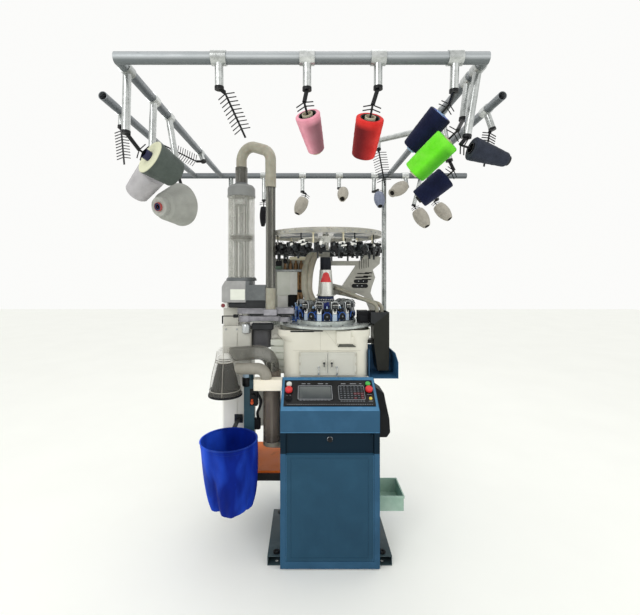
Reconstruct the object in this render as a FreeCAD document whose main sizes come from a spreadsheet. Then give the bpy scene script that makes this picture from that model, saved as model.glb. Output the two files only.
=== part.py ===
"""Circular sock knitting machine with its yarn creel, millimetres.

X is to the operator's right, Y to the rear and Z up, with the origin on the floor under the
middle of the creel. The machine itself stands to the right of that middle, at machine_x.
"""

import FreeCAD, Part
import math
import os
import Sketcher

V = FreeCAD.Vector
doc = FreeCAD.newDocument("KnittingMachine")
sheet = doc.addObject("Spreadsheet::Sheet", "Sizes")

# Driving dimensions: one line for each size that can be set by itself.
DRIVING = {
    # where the knitting head stands
    "machine_x": 140, "cylinder_y": 170, "running_gap": 0.3,
    # creel tubes
    "creel_z": 2350, "creel_half_depth": 860, "creel_front_half": 697, "creel_rear_half": 1334,
    "creel_side_x": 690, "creel_outer_x": 905, "creel_outer_front": 560, "creel_front_r": 22.5,
    "creel_side_r": 20, "creel_wall": 2.5, "creel_post_r": 19, "creel_post_half": 632, "creel_post_mid": 24, "creel_beam_z": 1160,
    "creel_beam_h": 50, "drop_tube_r": 16, "drop_collar_r": 27, "drop_collar_len": 56,
    # cone holders
    "cone_bore_r": 18, "spindle_w": 8, "spindle_plate": 3, "pin_w": 4, "pin_pitch": 15,
    "pin_reach": 34, "spindle_lead": 46, "cap_h": 12,
    # base rails
    "rail_w": 95, "rail_h": 50, "rail_wall": 4, "rail_front": -270, "rail_len": 400,
    "anchor_r": 9, "anchor_inset": 30,
    # lower housing behind the cabinet
    "housing_w": 470, "housing_back": 440, "housing_top": 930, "housing_wall": 3,
    "housing_plate": 8,
    # shelf for the linking unit
    "shelf_left": -510, "shelf_front": -98, "shelf_depth": 400, "shelf_top": 400, "shelf_skirt": 46,
    "shelf_wall": 4, "mat_t": 6, "mat_margin": 10,
    # cabinet and its slanted console
    "cabinet_w": 520, "cabinet_front": -300, "cabinet_back": -100, "cabinet_wall": 3,
    "console_front_z": 828, "console_back_z": 950, "console_back_y": -107, "plinth_h": 43,
    "plinth_t": 22, "plinth_clear": 5, "door_w": 462, "door_top": 712, "door_gap": 2,
    "door_t": 20, "door_pan": 20, "door_pin_r": 3.5, "door_pin_x": 8, "door_pin_y": 5, "door_pin_len": 8, "band_low": 604, "band_recess": 12, "lock_r": 13, "lock_z": 675,
    # console face
    "fascia_w": 489, "fascia_v0": 28, "fascia_v1": 204, "fascia_t": 4, "screen_u": -76,
    "screen_v": 115, "screen_w": 196, "screen_h": 100, "keypad_u": 123, "keypad_w": 149,
    "keypad_h": 106, "bezel_t": 3, "button_u": 219, "stem_r": 7, "stem_len": 22,
    # knitting head
    "shroud_left": 259, "shroud_right": 242, "shroud_front": -80, "shroud_depth": 500, "shroud_top": 1215, "shroud_r": 75,
    "shroud_wall": 3, "lip_left": 34, "lip_right": 15, "lip_h": 35, "flare_h": 34,
    "hatch_w": 320, "hatch_low": 958, "hatch_h": 132,
    "hatch_t": 12, "bed_r": 285, "bed_low": 1222, "bed_t": 18, "ring_r": 192, "ring_t": 16,
    "bed_hole_r": 52, "column_r": 15, "column_spread": 150,
    "cylinder_r": 50, "cylinder_wall": 9, "cylinder_low": 1100, "cylinder_top": 1352,
    "groove_count": 32, "groove_w": 3, "groove_depth": 4, "pulley_r": 75, "pulley_low": 1140,
    "pulley_h": 36, "flange_t": 4, "motor_dx": 0, "motor_dy": 172, "motor_w": 90,
    "motor_low": 942, "motor_top": 1118, "motor_pulley_r": 30, "belt_t": 4, "belt_h": 24,
    "dial_gap": 5, "dial_r": 48, "dial_t": 14, "dial_shaft_r": 12, "cover_low": 1401,
    "cover_top": 1567, "cover_r_low": 52, "cover_r_top": 39, "head_motor_r": 35, "head_motor_h": 80,
    "bracket_front": 232, "bracket_t": 50, "hub_half": 30, "hub_top": 1700, "hub_low": 1380,
    "stack_w": 84, "disc_r": 355, "disc_low": 1797, "disc_t": 5, "disc_rim": 22, "tension_r": 316,
    "tension_z": 1665, "tension_w": 16, "tension_t": 10, "tension_count": 16, "head_column_r": 20,
    "feeder_count": 12, "feeder_r": 163, "hose_station": 9, "finger_head": 96,
    # linking unit on its pillar
    "unit_x": -385, "unit_y": 70, "pillar_x": -406, "pillar_y": 110, "pillar_w": 176,
    "pillar_d": 180, "pillar_top": 1226, "post_x": -357, "post_r": 25, "bridge_low": 1300,
    "bridge_t": 34, "bridge_w": 84, "bridge_end": -60, "unit_low": 1372, "unit_top": 1500,
    "unit_w": 186, "unit_d": 185, "clear_r": 83, "clear_wall": 3, "clear_top": 2017,
    "unit_cap_h": 65, "guide_r": 14, "side_rod_r": 6, "side_rod_x": 40, "slider_r": 56,
    "slider_low": 1742, "slider_h": 42, "neck_r": 38, "neck_top": 2196, "riser_x": -195,
    "riser_y": -30,
    "riser_r": 29, "riser_wall": 2.5, "riser_joint_low": 1458, "riser_joint_high": 1796,
    "sleeve_low": 2054, "riser_top": 2155, "arm_low": 1250, "arm_t": 36,
    "arm_reach": 278, "pillar_head_w": 90, "swing_motor_low": 1092, "swing_motor_w": 114,
    "swing_motor_h": 144,
    # sock collector and suction ducts
    "bell_x": -442, "bell_y": -130, "bell_low": 868, "bell_r": 92, "bell_top": 1128,
    "bell_wall": 3, "gate_t": 10, "gate_pin_r": 3, "mesh_r_low": 78, "mesh_r_top": 42, "mesh_low": 893,
    "mesh_h": 150, "elbow_z": 1085, "elbow_r": 42, "elbow_bend": 90, "suction_x": -186,
    "suction_y": -40, "suction_r": 52, "suction_low": 566, "suction_wall": 3, "duct_r": 32,
    "duct_z": 1006, "duct_bend": 50, "duct_x": -212, "waste_hose_r": 12, "hose_wall": 3,
    "arch_rise": 152, "arch_bend": 76,
    # bag, post, cream box
    "bag_x": -393, "bag_y": -270, "bag_r": 150, "bag_ring_z": 664, "bag_depth": 352,
    "bag_wall": 2, "bag_ring_wire": 4, "post_w": 60, "air_post_x": -344, "air_post_y": -95,
    "air_post_top": 890, "cream_left": -280, "cream_low": 890, "cream_h": 60, "cream_front": -162,
    # right-hand side
    "chute_left": 422, "chute_w": 92, "chute_top": 1312, "chute_mid": 1120, "chute_low": 962,
    "chute_hood": 18, "chute_foot_x": 22, "chute_foot_w": 66,
    "chute_y": 0, "chute_d": 120, "chute_wall": 3, "tray_w": 170, "tray_low": 933, "tray_h": 164,
    "tray_y": -70, "tray_d": 200, "tray_wall": 2, "crate_left": 408, "crate_w": 153,
    "crate_y": -155, "crate_d": 187, "crate_low": 216, "crate_h": 84, "crate_wall": 3,
    "side_box_low": 570,
}


class Dim:
    """A size that carries both its value and the sheet expression that gives it."""

    def __init__(self, value, text):
        self.value = float(value)
        self.text = text

    @staticmethod
    def of(other):
        return other if isinstance(other, Dim) else Dim(other, repr(float(other)))

    def __add__(self, other):
        other = Dim.of(other)
        return Dim(self.value + other.value, "(%s + %s)" % (self.text, other.text))

    def __sub__(self, other):
        other = Dim.of(other)
        return Dim(self.value - other.value, "(%s - %s)" % (self.text, other.text))

    def __mul__(self, other):
        other = Dim.of(other)
        return Dim(self.value * other.value, "(%s * %s)" % (self.text, other.text))

    def __truediv__(self, other):
        other = Dim.of(other)
        return Dim(self.value / other.value, "(%s / %s)" % (self.text, other.text))

    def __radd__(self, other):
        return Dim.of(other) + self

    def __rsub__(self, other):
        return Dim.of(other) - self

    def __rmul__(self, other):
        return Dim.of(other) * self

    def __neg__(self):
        return Dim.of(0) - self

    def __float__(self):
        return self.value


class Sizes:
    """The sheet's cells by name."""


S = Sizes()
for row, (alias, number) in enumerate(DRIVING.items(), start=1):
    sheet.set("A%d" % row, alias)
    sheet.set("B%d" % row, str(number))
    sheet.setAlias("B%d" % row, alias)
    setattr(S, alias, Dim(number, "Sizes.%s" % alias))
doc.recompute()

NODES = {}


def node(label, thing):
    """Marks an object of the document as the sub-part of that name."""
    thing.Label = label
    NODES[label] = thing
    return thing


def bind(thing, **sizes):
    """Sets properties from sizes; a double underscore in a name stands for a dot."""
    for name, size in sizes.items():
        path = name.replace("__", ".")
        if isinstance(size, Dim):
            thing.setExpression(path, size.text)
        else:
            thing.setExpression(path, repr(float(size)))
    return thing


def place(thing, x=0, y=0, z=0):
    return bind(thing, Placement__Base__x=x, Placement__Base__y=y, Placement__Base__z=z)


def box(x, y, z, w, d, h, name="Block"):
    """A block from its lowest corner and its width, depth and height."""
    block = doc.addObject("Part::Box", name)
    bind(block, Length=w, Width=d, Height=h)
    return place(block, x, y, z)


def rod(x, y, z, r, length, axis="z", name="Rod"):
    """A cylinder from its start point along +X, +Y or +Z."""
    turned = doc.addObject("Part::Cylinder", name)
    turns = {"z": (V(0, 0, 1), 0), "x": (V(0, 1, 0), 90), "y": (V(1, 0, 0), -90)}
    turned.Placement = FreeCAD.Placement(V(0, 0, 0), FreeCAD.Rotation(*turns[axis]))
    bind(turned, Radius=r, Height=length)
    return place(turned, x, y, z)


def pipe(x, y, z, r, length, axis="z"):
    """A round tube of the creel's wall, from its start point along +X, +Y or +Z."""
    start = {"x": Dim.of(x), "y": Dim.of(y), "z": Dim.of(z)}
    start[axis] = start[axis] - 1
    bore = rod(start["x"], start["y"], start["z"], r - S.creel_wall, length + 2, axis)
    return cut(rod(x, y, z, r, length, axis), bore)


def fuse(*parts):
    joined = doc.addObject("Part::MultiFuse", "Joined")
    joined.Shapes = list(parts)
    joined.Refine = True
    return joined


def cut(base, *tools):
    result = doc.addObject("Part::Cut", "Cut")
    result.Base = base
    result.Tool = tools[0] if len(tools) == 1 else fuse(*tools)
    result.Refine = True
    return result


def common(base, tool):
    result = doc.addObject("Part::Common", "Common")
    result.Base = base
    result.Tool = tool
    return result


def group(*parts):
    """Separate solids kept together in one sub-part."""
    together = doc.addObject("Part::Compound", "Group")
    together.Links = list(parts)
    return together


def ring(x, y, z, r_out, r_in, h):
    """A tube or washer about a vertical axis."""
    return cut(rod(x, y, z, r_out, h), rod(x, y, z - 1, r_in, h + 2))


def sketch_on(body, role, loops):
    """A sketch on one of the body's origin planes. Each loop is a list of corner points, or a
    tuple (x, y, r) for a circle, and every coordinate is bound to the sheet."""
    sketch = body.newObject("Sketcher::SketchObject", "Outline")
    planes = [feature for feature in body.Origin.OriginFeatures if feature.Role == role]
    sketch.AttachmentSupport = (planes[0], [""])
    sketch.MapMode = "FlatFace"
    bound = []
    for loop in loops:
        first = sketch.GeometryCount
        if isinstance(loop, tuple):
            x, y, r = (Dim.of(number) for number in loop)
            sketch.addGeometry(Part.Circle(V(x.value, y.value, 0), V(0, 0, 1), r.value))
            bound.append((sketch.addConstraint(Sketcher.Constraint("Radius", first, r.value)), r))
            points = [(first, 3, x, y)]
        else:
            corners = [(Dim.of(x), Dim.of(y)) for x, y in loop]
            for start, end in zip(corners, corners[1:] + corners[:1]):
                a = V(start[0].value, start[1].value, 0)
                b = V(end[0].value, end[1].value, 0)
                sketch.addGeometry(Part.LineSegment(a, b))
            for side in range(len(corners)):
                after = first + (side + 1) % len(corners)
                sketch.addConstraint(Sketcher.Constraint("Coincident", first + side, 2, after, 1))
            points = [(first + n, 1, x, y) for n, (x, y) in enumerate(corners)]
        for geometry, end, x, y in points:
            for kind, size in (("DistanceX", x), ("DistanceY", y)):
                rule = Sketcher.Constraint(kind, -1, 1, geometry, end, size.value)
                bound.append((sketch.addConstraint(rule), size))
    for number, size in bound:
        sketch.setExpression("Constraints[%d]" % number, size.text)
    return sketch


def pad(role, loops, length, offset=0):
    """A body padded from an outline. YZ outlines grow along +X, XZ ones along -Y, XY ones up,
    each from offset along that axis."""
    body = doc.addObject("PartDesign::Body", "Body")
    sketch = sketch_on(body, role, loops)
    feature = body.newObject("PartDesign::Pad", "Pad")
    feature.Profile = sketch
    bind(feature, Length=length)
    sketch.Visibility = False
    axis = {"YZ_Plane": "x", "XZ_Plane": "y", "XY_Plane": "z"}[role]
    place(body, **{axis: offset})
    return body


def turn(profile, x=0, y=0, z=0):
    """A body turned about a vertical axis from (radius, height) corners."""
    body = doc.addObject("PartDesign::Body", "Turned")
    sketch = sketch_on(body, "XZ_Plane", [profile])
    feature = body.newObject("PartDesign::Revolution", "Revolution")
    feature.Profile = sketch
    feature.ReferenceAxis = (sketch, ["V_Axis"])
    feature.Angle = 360
    return place(body, x, y, z)


def rounded(x, y, z, w, d, h, r):
    """An upright block whose four vertical edges are rounded."""
    body = doc.addObject("PartDesign::Body", "Rounded")
    sketch = sketch_on(body, "XY_Plane", [[(x, y), (x + w, y), (x + w, y + d), (x, y + d)]])
    feature = body.newObject("PartDesign::Pad", "Pad")
    feature.Profile = sketch
    bind(feature, Length=h)
    doc.recompute()
    upright = [
        "Edge%d" % number
        for number, edge in enumerate(feature.Shape.Edges, start=1)
        if abs(edge.tangentAt(edge.FirstParameter).z) > 0.9
    ]
    fillet = body.newObject("PartDesign::Fillet", "Fillet")
    fillet.Base = (feature, upright)
    bind(fillet, Radius=r)
    return place(body, z=z)


def shape(built):
    """A feature whose shape is built in code from sizes read off the sheet."""
    feature = doc.addObject("Part::Feature", "Shape")
    feature.Shape = built
    return feature


def turned_about(part, x, y, degrees):
    """The same object turned about a vertical line at x, y."""
    holder = doc.addObject("Part::Compound", "Turned")
    holder.Links = [part]
    holder.Placement.Rotation = FreeCAD.Rotation(V(0, 0, 1), degrees)
    return place(holder, x, y)


def toward(start, end):
    """A placement at start whose Z axis points at end."""
    return FreeCAD.Placement(start, FreeCAD.Rotation(V(0, 0, 1), end - start))


def straight(start, end, r):
    """A solid round bar between two points."""
    return Part.makeCylinder(r, (end - start).Length, start, end - start)


def bent_path(points, radii):
    """Straight runs joined by tangent arcs: one radius for each inner point."""
    edges = []
    here = points[0]
    for before, corner, after, r in zip(points, points[1:], points[2:], radii):
        into = (corner - before).normalize()
        out = (after - corner).normalize()
        turn_angle = into.getAngle(out)
        reach = r * math.tan(turn_angle / 2)
        start = corner - into * reach
        end = corner + out * reach
        middle_way = (out - into).normalize()
        centre = corner + middle_way * (r / math.cos(turn_angle / 2))
        middle = centre - middle_way * r
        edges.append(Part.LineSegment(here, start).toShape())
        edges.append(Part.Arc(start, middle, end).toShape())
        here = end
    edges.append(Part.LineSegment(here, points[-1]).toShape())
    return Part.Wire(edges)


def bent_bar(points, radii, r):
    path = bent_path(points, radii)
    profile = Part.Wire(Part.makeCircle(r, points[0], points[1] - points[0]))
    return path.makePipeShell([profile], True, False)


def bent_tube(points, radii, r, wall):
    """A bent tube of outer radius r that is open at both ends."""
    lead_in = (points[1] - points[0]).normalize()
    lead_out = (points[-1] - points[-2]).normalize()
    longer = [points[0] - lead_in] + list(points[1:-1]) + [points[-1] + lead_out]
    return bent_bar(points, radii, r).cut(bent_bar(longer, radii, r - wall))


# ---------------------------------------------------------------- creel

def creel_tubes():
    """Front, rear, side and outer tubes; the side ones are set between the front and rear."""
    front_y = -S.creel_half_depth
    rear_y = S.creel_half_depth
    front = pipe(-S.creel_front_half, front_y, S.creel_z, S.creel_front_r, S.creel_front_half * 2, "x")
    rear = pipe(-S.creel_rear_half, rear_y, S.creel_z, S.creel_front_r, S.creel_rear_half * 2, "x")
    sides = []
    for side in (-1, 1):
        sides.append(pipe(S.creel_side_x * side, front_y, S.creel_z, S.creel_side_r,
                          S.creel_half_depth * 2, "y"))
        sides.append(pipe(S.creel_outer_x * side, -S.creel_outer_front, S.creel_z, S.creel_side_r,
                          S.creel_half_depth + S.creel_outer_front, "y"))
    cross = [rod(-S.creel_rear_half, y, S.creel_z, S.creel_front_r, S.creel_rear_half * 2, "x")
             for y in (front_y, rear_y)]
    node("creel_tubes", group(front, rear, *[cut(tube, *cross) for tube in sides]))


def creel_posts():
    """Two uprights under the rear tube, held by a beam across the back of the machine."""
    y = S.creel_half_depth
    top = S.creel_z - S.creel_front_r
    low = S.creel_beam_z
    middle = S.creel_post_mid
    uprights = [pipe(middle + S.creel_post_half * side, y, low, S.creel_post_r, top - low)
                for side in (-1, 1)]
    half = S.creel_post_half + S.creel_post_r + 12
    beam = box(middle - half, y - S.creel_post_r - 40, low - S.creel_beam_h, half * 2, 80, S.creel_beam_h)
    arms = []
    for side in (-1, 1):
        arm_y = S.housing_back
        arms.append(box(S.machine_x + side * 150 - 20, arm_y, low - S.creel_beam_h, 40,
                        y - S.creel_post_r - 40 - arm_y, S.creel_beam_h))
        arms.append(box(S.machine_x + side * 150 - 20, arm_y, 700, 40, 40, low - S.creel_beam_h - 700))
    room = box(middle - half - 1, y - S.creel_post_r - 36, low - S.creel_beam_h + 4, half * 2 + 2, 72,
               S.creel_beam_h - 8)
    node("creel_posts", group(*uprights, cut(beam, room), *arms))


# Cone stations. A drop tube hangs from the creel tube named in "on", at "at", and ends at "end",
# and the cone, or the empty spindle, runs from "base" to "nose". Each point is measured from that
# creel tube: the way across or along it, the distance into or out of the creel, and the drop.
STATIONS = {
    "front_1": {"on": "front", "at": (-309, 0), "end": (-309, 5, 104),
                "base": (-292, 22, 118), "nose": (-226, 90, 262)},
    "front_2": {"on": "front", "at": (20, 0), "end": (20, 3, 108),
                "base": (21, 32, 196), "nose": (59, 138, 302), "cone": ("pink", 49, 33)},
    "front_3": {"on": "front", "at": (286, 0), "end": (286, 3, 104),
                "base": (262, 32, 208), "nose": (250, 138, 322), "cone": ("red", 54, 47)},
    "front_4": {"on": "front", "at": (573, 0), "end": (573, 10, 112),
                "base": (570, 138, 150), "nose": (474, 232, 262), "cone": ("navy", 52, 44)},
    "right_1": {"on": "side", "at": (1, -790), "end": (-42, -790, 262),
                "base": (-26, -789, 314), "nose": (122, -772, 356), "cone": ("charcoal", 46, 27)},
    "right_2": {"on": "side", "at": (1, -700), "end": (-22, -705, 160),
                "base": (-112, -777, 276), "nose": (-222, -692, 384), "cone": ("green", 54, 51)},
    "right_3": {"on": "side", "at": (1, -380), "end": (40, -380, 235),
                "base": (26, -380, 322), "nose": (-96, -330, 424), "cone": ("navy", 57, 50)},
    "right_4": {"on": "arm", "at": (450, 20), "end": (450, 20, 48),
                "base": (456, 24, 66), "nose": (502, 68, 262), "reach": 44},
    "right_5": {"on": "outer", "at": (1, -400), "end": (25, -410, 90),
                "base": (0, -440, 120), "nose": (-55, -500, 300)},
    "left_1": {"on": "side", "at": (-1, -780), "end": (0, -790, 246),
                "base": (49, -690, 315), "nose": (128, -590, 365), "cone": ("cream", 76, 60)},
    "left_2": {"on": "side", "at": (-1, -520), "end": (0, -540, 240),
                "base": (0, -536, 346), "nose": (-96, -486, 428), "cone": ("white", 66, 54)},
    "left_3": {"on": "side", "at": (-1, -330), "end": (50, -330, 300),
                "base": (84, -392, 464), "nose": (26, -530, 498), "cone": ("pale", 106, 46)},
    "left_4": {"on": "side", "at": (-1, 242), "end": (26, 226, 62),
                "base": (-10, 196, 76), "nose": (-180, 100, 6), "reach": 40},
    "left_5": {"on": "outer", "at": (-1, -380), "end": (0, -386, 70),
                "base": (0, -390, 90), "nose": (20, -400, 262)},
    "rear_1": {"on": "rear", "at": (-335, 0), "end": (-335, -10, 200),
                "base": (-337, -14, 262), "nose": (-340, -40, 420), "cone": ("black", 30, 22)},
    "rear_2": {"on": "rear", "at": (-17, 0), "end": (-17, -10, 128),
                "base": (-4, -28, 196), "nose": (-60, -60, 322), "cone": ("bobbin", 52, 34)},
    "rear_3": {"on": "rear", "at": (285, 0), "end": (285, -10, 100),
                "base": (318, -26, 126), "nose": (300, -130, 216), "cone": ("bobbin", 46, 38)},
    "rear_4": {"on": "rear", "at": (575, 0), "end": (570, -10, 128),
                "base": (596, -90, 168), "nose": (596, -155, 278), "cone": ("blue", 44, 33)},
    "rear_5": {"on": "rear", "at": (830, 0), "end": (842, -10, 88),
                "base": (812, -40, 92), "nose": (690, -148, 174), "cone": ("bobbin", 54, 48)},
    "rear_6": {"on": "rear", "at": (962, 0), "end": (900, -10, 240),
                "base": (920, -38, 296), "nose": (980, -100, 430), "cone": ("bobbin", 58, 36)},
    "rear_7": {"on": "rear", "at": (1090, 0), "end": (1090, -10, 190),
                "base": (1090, -28, 252), "nose": (1165, -90, 370), "cone": ("bobbin", 54, 34)},
}


def station_points(station):
    """Hanging point, drop tube end, and base and nose of the spindle, as vectors."""
    z = S.creel_z.value
    on = station["on"]
    across, along = station["at"]
    if on in ("front", "rear"):
        start = V(0, S.creel_half_depth.value * (-1 if on == "front" else 1), z)
        hang = start + V(across, 0, 0)
    elif on in ("side", "outer"):
        tube = S.creel_side_x if on == "side" else S.creel_outer_x
        start = V(tube.value * across, 0, z)
        hang = start + V(0, along, 0)
    else:
        start = V(0, 0, z)
        hang = V(across, along, z)
    return [hang] + [start + V(x, y, -drop) for x, y, drop in
                     (station["end"], station["base"], station["nose"])]


def tube_radius(on):
    return S.creel_front_r.value if on in ("front", "rear") else S.creel_side_r.value


def drop_tube(station):
    """A tee collar round the creel tube with the drop tube welded under it."""
    hang, end, base, nose = station_points(station)
    on = station["on"]
    r = S.drop_tube_r.value
    if on == "arm":
        side = V(S.creel_side_x.value - S.creel_side_r.value, hang.y - 180, hang.z)
        carrier = Part.makeCylinder(S.creel_side_r.value + 8, 40, V(S.creel_side_x.value, side.y - 20, hang.z), V(0, 1, 0))
        carrier = carrier.cut(Part.makeCylinder(S.creel_side_r.value, 60, V(S.creel_side_x.value, side.y - 30, hang.z), V(0, 1, 0)))
        bar = straight(hang, V(S.creel_side_x.value, side.y, hang.z), r)
        bar = bar.cut(Part.makeCylinder(S.creel_side_r.value, 300, V(S.creel_side_x.value, side.y - 150, hang.z), V(0, 1, 0)))
        return carrier.fuse([bar, straight(hang + V(0, 0, 1), end, r)])
    tube_r = tube_radius(on)
    half = S.drop_collar_len.value / 2
    along = V(1, 0, 0) if on in ("front", "rear") else V(0, 1, 0)
    collar = Part.makeCylinder(tube_r + 4.5, half * 2, hang - along * half, along)
    stub = straight(hang, end, r)
    bore = Part.makeCylinder(tube_r, half * 4, hang - along * (half * 2), along)
    return collar.fuse(stub).cut(bore)


def comb_side(pins):
    """One edge of a comb from (height, reach) pairs of slanted pins, from its foot upward."""
    half_rod = S.spindle_w.value / 2
    pin = S.pin_w.value
    edge = [V(half_rod, 0, 0)]
    for height, reach in pins:
        edge += [V(half_rod, 0, height), V(reach, 0, height + pin * 2), V(reach, 0, height + pin * 3),
                 V(half_rod, 0, height + pin)]
    return edge


def fishbone(foot, tip, pins):
    """A spindle with pins on both sides: one flat comb that runs from foot to tip and shows its
    flat side to the front."""
    right = comb_side(pins) + [V(S.spindle_w.value / 2, 0, (tip - foot).Length)]
    left = [V(-point.x, 0, point.z) for point in reversed(right)]
    comb = Part.Face(Part.makePolygon(right + left + [right[0]]))
    comb = comb.extrude(V(0, S.spindle_plate.value, 0))
    comb.translate(V(0, -S.spindle_plate.value / 2, 0))
    along = (tip - foot).normalize()
    across = (V(0, 1, 0) - along * along.y).normalize()
    comb.Placement = FreeCAD.Placement(foot, FreeCAD.Rotation(across.cross(along), across, along,
                                                              "ZYX"))
    return comb


def cone_holder(station):
    """The black end cap, knuckle and spindle of one station. Its pins stand wide where the
    spindle is bare and fill the bore where a cone is pushed on."""
    hang, end, base, nose = station_points(station)
    along = (nose - base).normalize()
    pitch = S.pin_pitch.value
    wide = station.get("reach", S.pin_reach.value)
    if "cone" in station:
        lead = S.spindle_lead.value
        foot = base - along * lead
        bore = S.cone_bore_r.value - S.running_gap.value
        inside = (nose - base).Length / 3
        pins = [(n * pitch, wide) for n in range(int(lead / pitch) - 1)]
        pins += [(lead + inside * n, bore) for n in (0.3, 1.3, 2.3)]
    else:
        foot = base
        pins = [(n * pitch + 4, wide) for n in range(int((nose - base).Length / pitch) - 1)]
    comb = fishbone(foot, nose + along * 4, pins)
    down = (end - hang).normalize()
    cap = Part.makeCylinder(S.drop_tube_r.value + 1.5, S.cap_h.value, end, down)
    link = straight(end + down * (S.cap_h.value / 2), foot, S.spindle_w.value)
    return comb.fuse([cap, link]).cut(drop_tube(station))


def yarn_cone(station):
    """A wound cone: rounded shoulders, and the bore that the spindle's pins fill."""
    _, _, base, nose = station_points(station)
    _, r_base, r_nose = station["cone"]
    length = (nose - base).Length
    bore = S.cone_bore_r.value
    round_off = 7
    profile = Part.makePolygon([
        V(bore, 0, 0), V(r_base - round_off, 0, 0), V(r_base, 0, round_off),
        V(r_nose, 0, length - round_off), V(r_nose - round_off, 0, length),
        V(bore, 0, length), V(bore, 0, 0)])
    solid = Part.Face(profile).revolve(V(0, 0, 0), V(0, 0, 1), 360)
    solid.Placement = toward(base, nose)
    return solid


CONE_NODES = {"pink": "cone_pink", "red": "cone_red", "green": "cone_green", "navy": "cones_dark",
              "charcoal": "cones_dark", "cream": "cone_cream", "white": "cones_white",
              "pale": "cones_white", "bobbin": "rear_bobbins", "black": "rear_bobbins",
              "blue": "rear_bobbins"}


def creel_stations():
    node("creel_drop_tubes", group(*[shape(drop_tube(station)) for station in STATIONS.values()]))
    node("cone_holders", group(*[shape(cone_holder(station)) for station in STATIONS.values()]))
    cones = {}
    for station in STATIONS.values():
        if "cone" in station:
            cones.setdefault(CONE_NODES[station["cone"][0]], []).append(shape(yarn_cone(station)))
    for label, solids in cones.items():
        node(label, group(*solids))


# ---------------------------------------------------------------- base and lower body

def base_rail(side):
    """A rectangular tube on the housing's flank, open at both ends, with its anchor holes."""
    middle = S.machine_x + side * (S.housing_w + S.rail_w) / 2
    left = middle - S.rail_w / 2
    wall = S.rail_wall
    outer = box(left, S.rail_front, 0, S.rail_w, S.rail_len, S.rail_h)
    inner = box(left + wall, S.rail_front - 1, wall, S.rail_w - wall * 2, S.rail_len + 2,
                S.rail_h - wall * 2)
    near = S.rail_front + S.anchor_inset
    far = S.rail_front + S.rail_len - S.anchor_inset
    holes = [rod(middle, y, -1, S.anchor_r, S.rail_h + 2) for y in (near, far)]
    return cut(outer, inner, *holes)


def machine_housing():
    """Sheet housing behind the cabinet, with its top plate and louvres at the back."""
    left = S.machine_x - S.housing_w / 2
    front = S.cabinet_back
    depth = S.housing_back - front
    wall = S.housing_wall
    top_plate = S.housing_plate
    outer = box(left, front, 0, S.housing_w, depth, S.housing_top)
    inner = box(left + wall, front + wall, wall, S.housing_w - wall * 2, depth - wall * 2,
                S.housing_top - wall - top_plate)
    mouth = rod(S.machine_x, S.cylinder_y, S.housing_top - 12, S.column_spread - S.column_r - 15, 20)
    slots = [box(left + 90, S.housing_back - wall - 1, 300 + step * 40, S.housing_w - 180, wall + 2, 12)
             for step in range(5)]
    node("machine_housing", cut(outer, inner, mouth, *slots))


def shelf():
    """Deck with turned-down skirts for the linking unit, its mat, and arms for the crate."""
    right = S.machine_x - S.housing_w / 2
    width = right - S.shelf_left
    low = S.shelf_top - S.shelf_skirt
    wall = S.shelf_wall
    deck = box(S.shelf_left, S.shelf_front, low, width, S.shelf_depth, S.shelf_skirt)
    under = box(S.shelf_left + wall, S.shelf_front + wall, low - 1, width - wall * 2,
                S.shelf_depth - wall * 2, S.shelf_skirt - wall + 1)
    arm_x = S.machine_x + S.housing_w / 2
    arm_len = S.crate_left + S.crate_w - arm_x - 12
    arms = [box(arm_x, S.cabinet_back + step, S.crate_low - 20, arm_len, 20, 20) for step in (20, 95)]
    mat = box(S.shelf_left + S.mat_margin, S.shelf_front + S.mat_margin, S.shelf_top,
              width - S.mat_margin * 2, S.shelf_depth - S.mat_margin * 2, S.mat_t)
    node("shelf_frame", group(cut(deck, under), mat, *arms))


# ---------------------------------------------------------------- cabinet and console

CONSOLE_RUN = S.console_back_y - S.cabinet_front
CONSOLE_RISE = S.console_back_z - S.console_front_z


def on_console(thing):
    """Moves an object built in console coordinates onto the slanted face: its x runs along the
    machine, y up the slope from the front edge and z out of the face."""
    thing.Placement.Rotation = FreeCAD.Rotation(V(1, 0, 0), 1)
    angle = "atan(%s / %s)" % (CONSOLE_RISE.text, CONSOLE_RUN.text)
    thing.setExpression("Placement.Rotation.Angle", angle)
    return place(thing, S.machine_x, S.cabinet_front, S.console_front_z)


CONTROLS = {
    "white_button": {"u": -1, "v": 168, "r": 15, "h": 12, "lift": 6},
    "stop_button_left": {"u": -1, "v": 124, "r": 20, "h": 16, "lift": 10},
    "selector_knob": {"u": -1, "v": 74, "r": 17, "h": 18, "lift": 0.3},
    "green_button": {"u": 1, "v": 172, "r": 14, "h": 10, "lift": 6},
    "stop_button_right": {"u": 1, "v": 128, "r": 20, "h": 16, "lift": 10},
}


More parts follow.
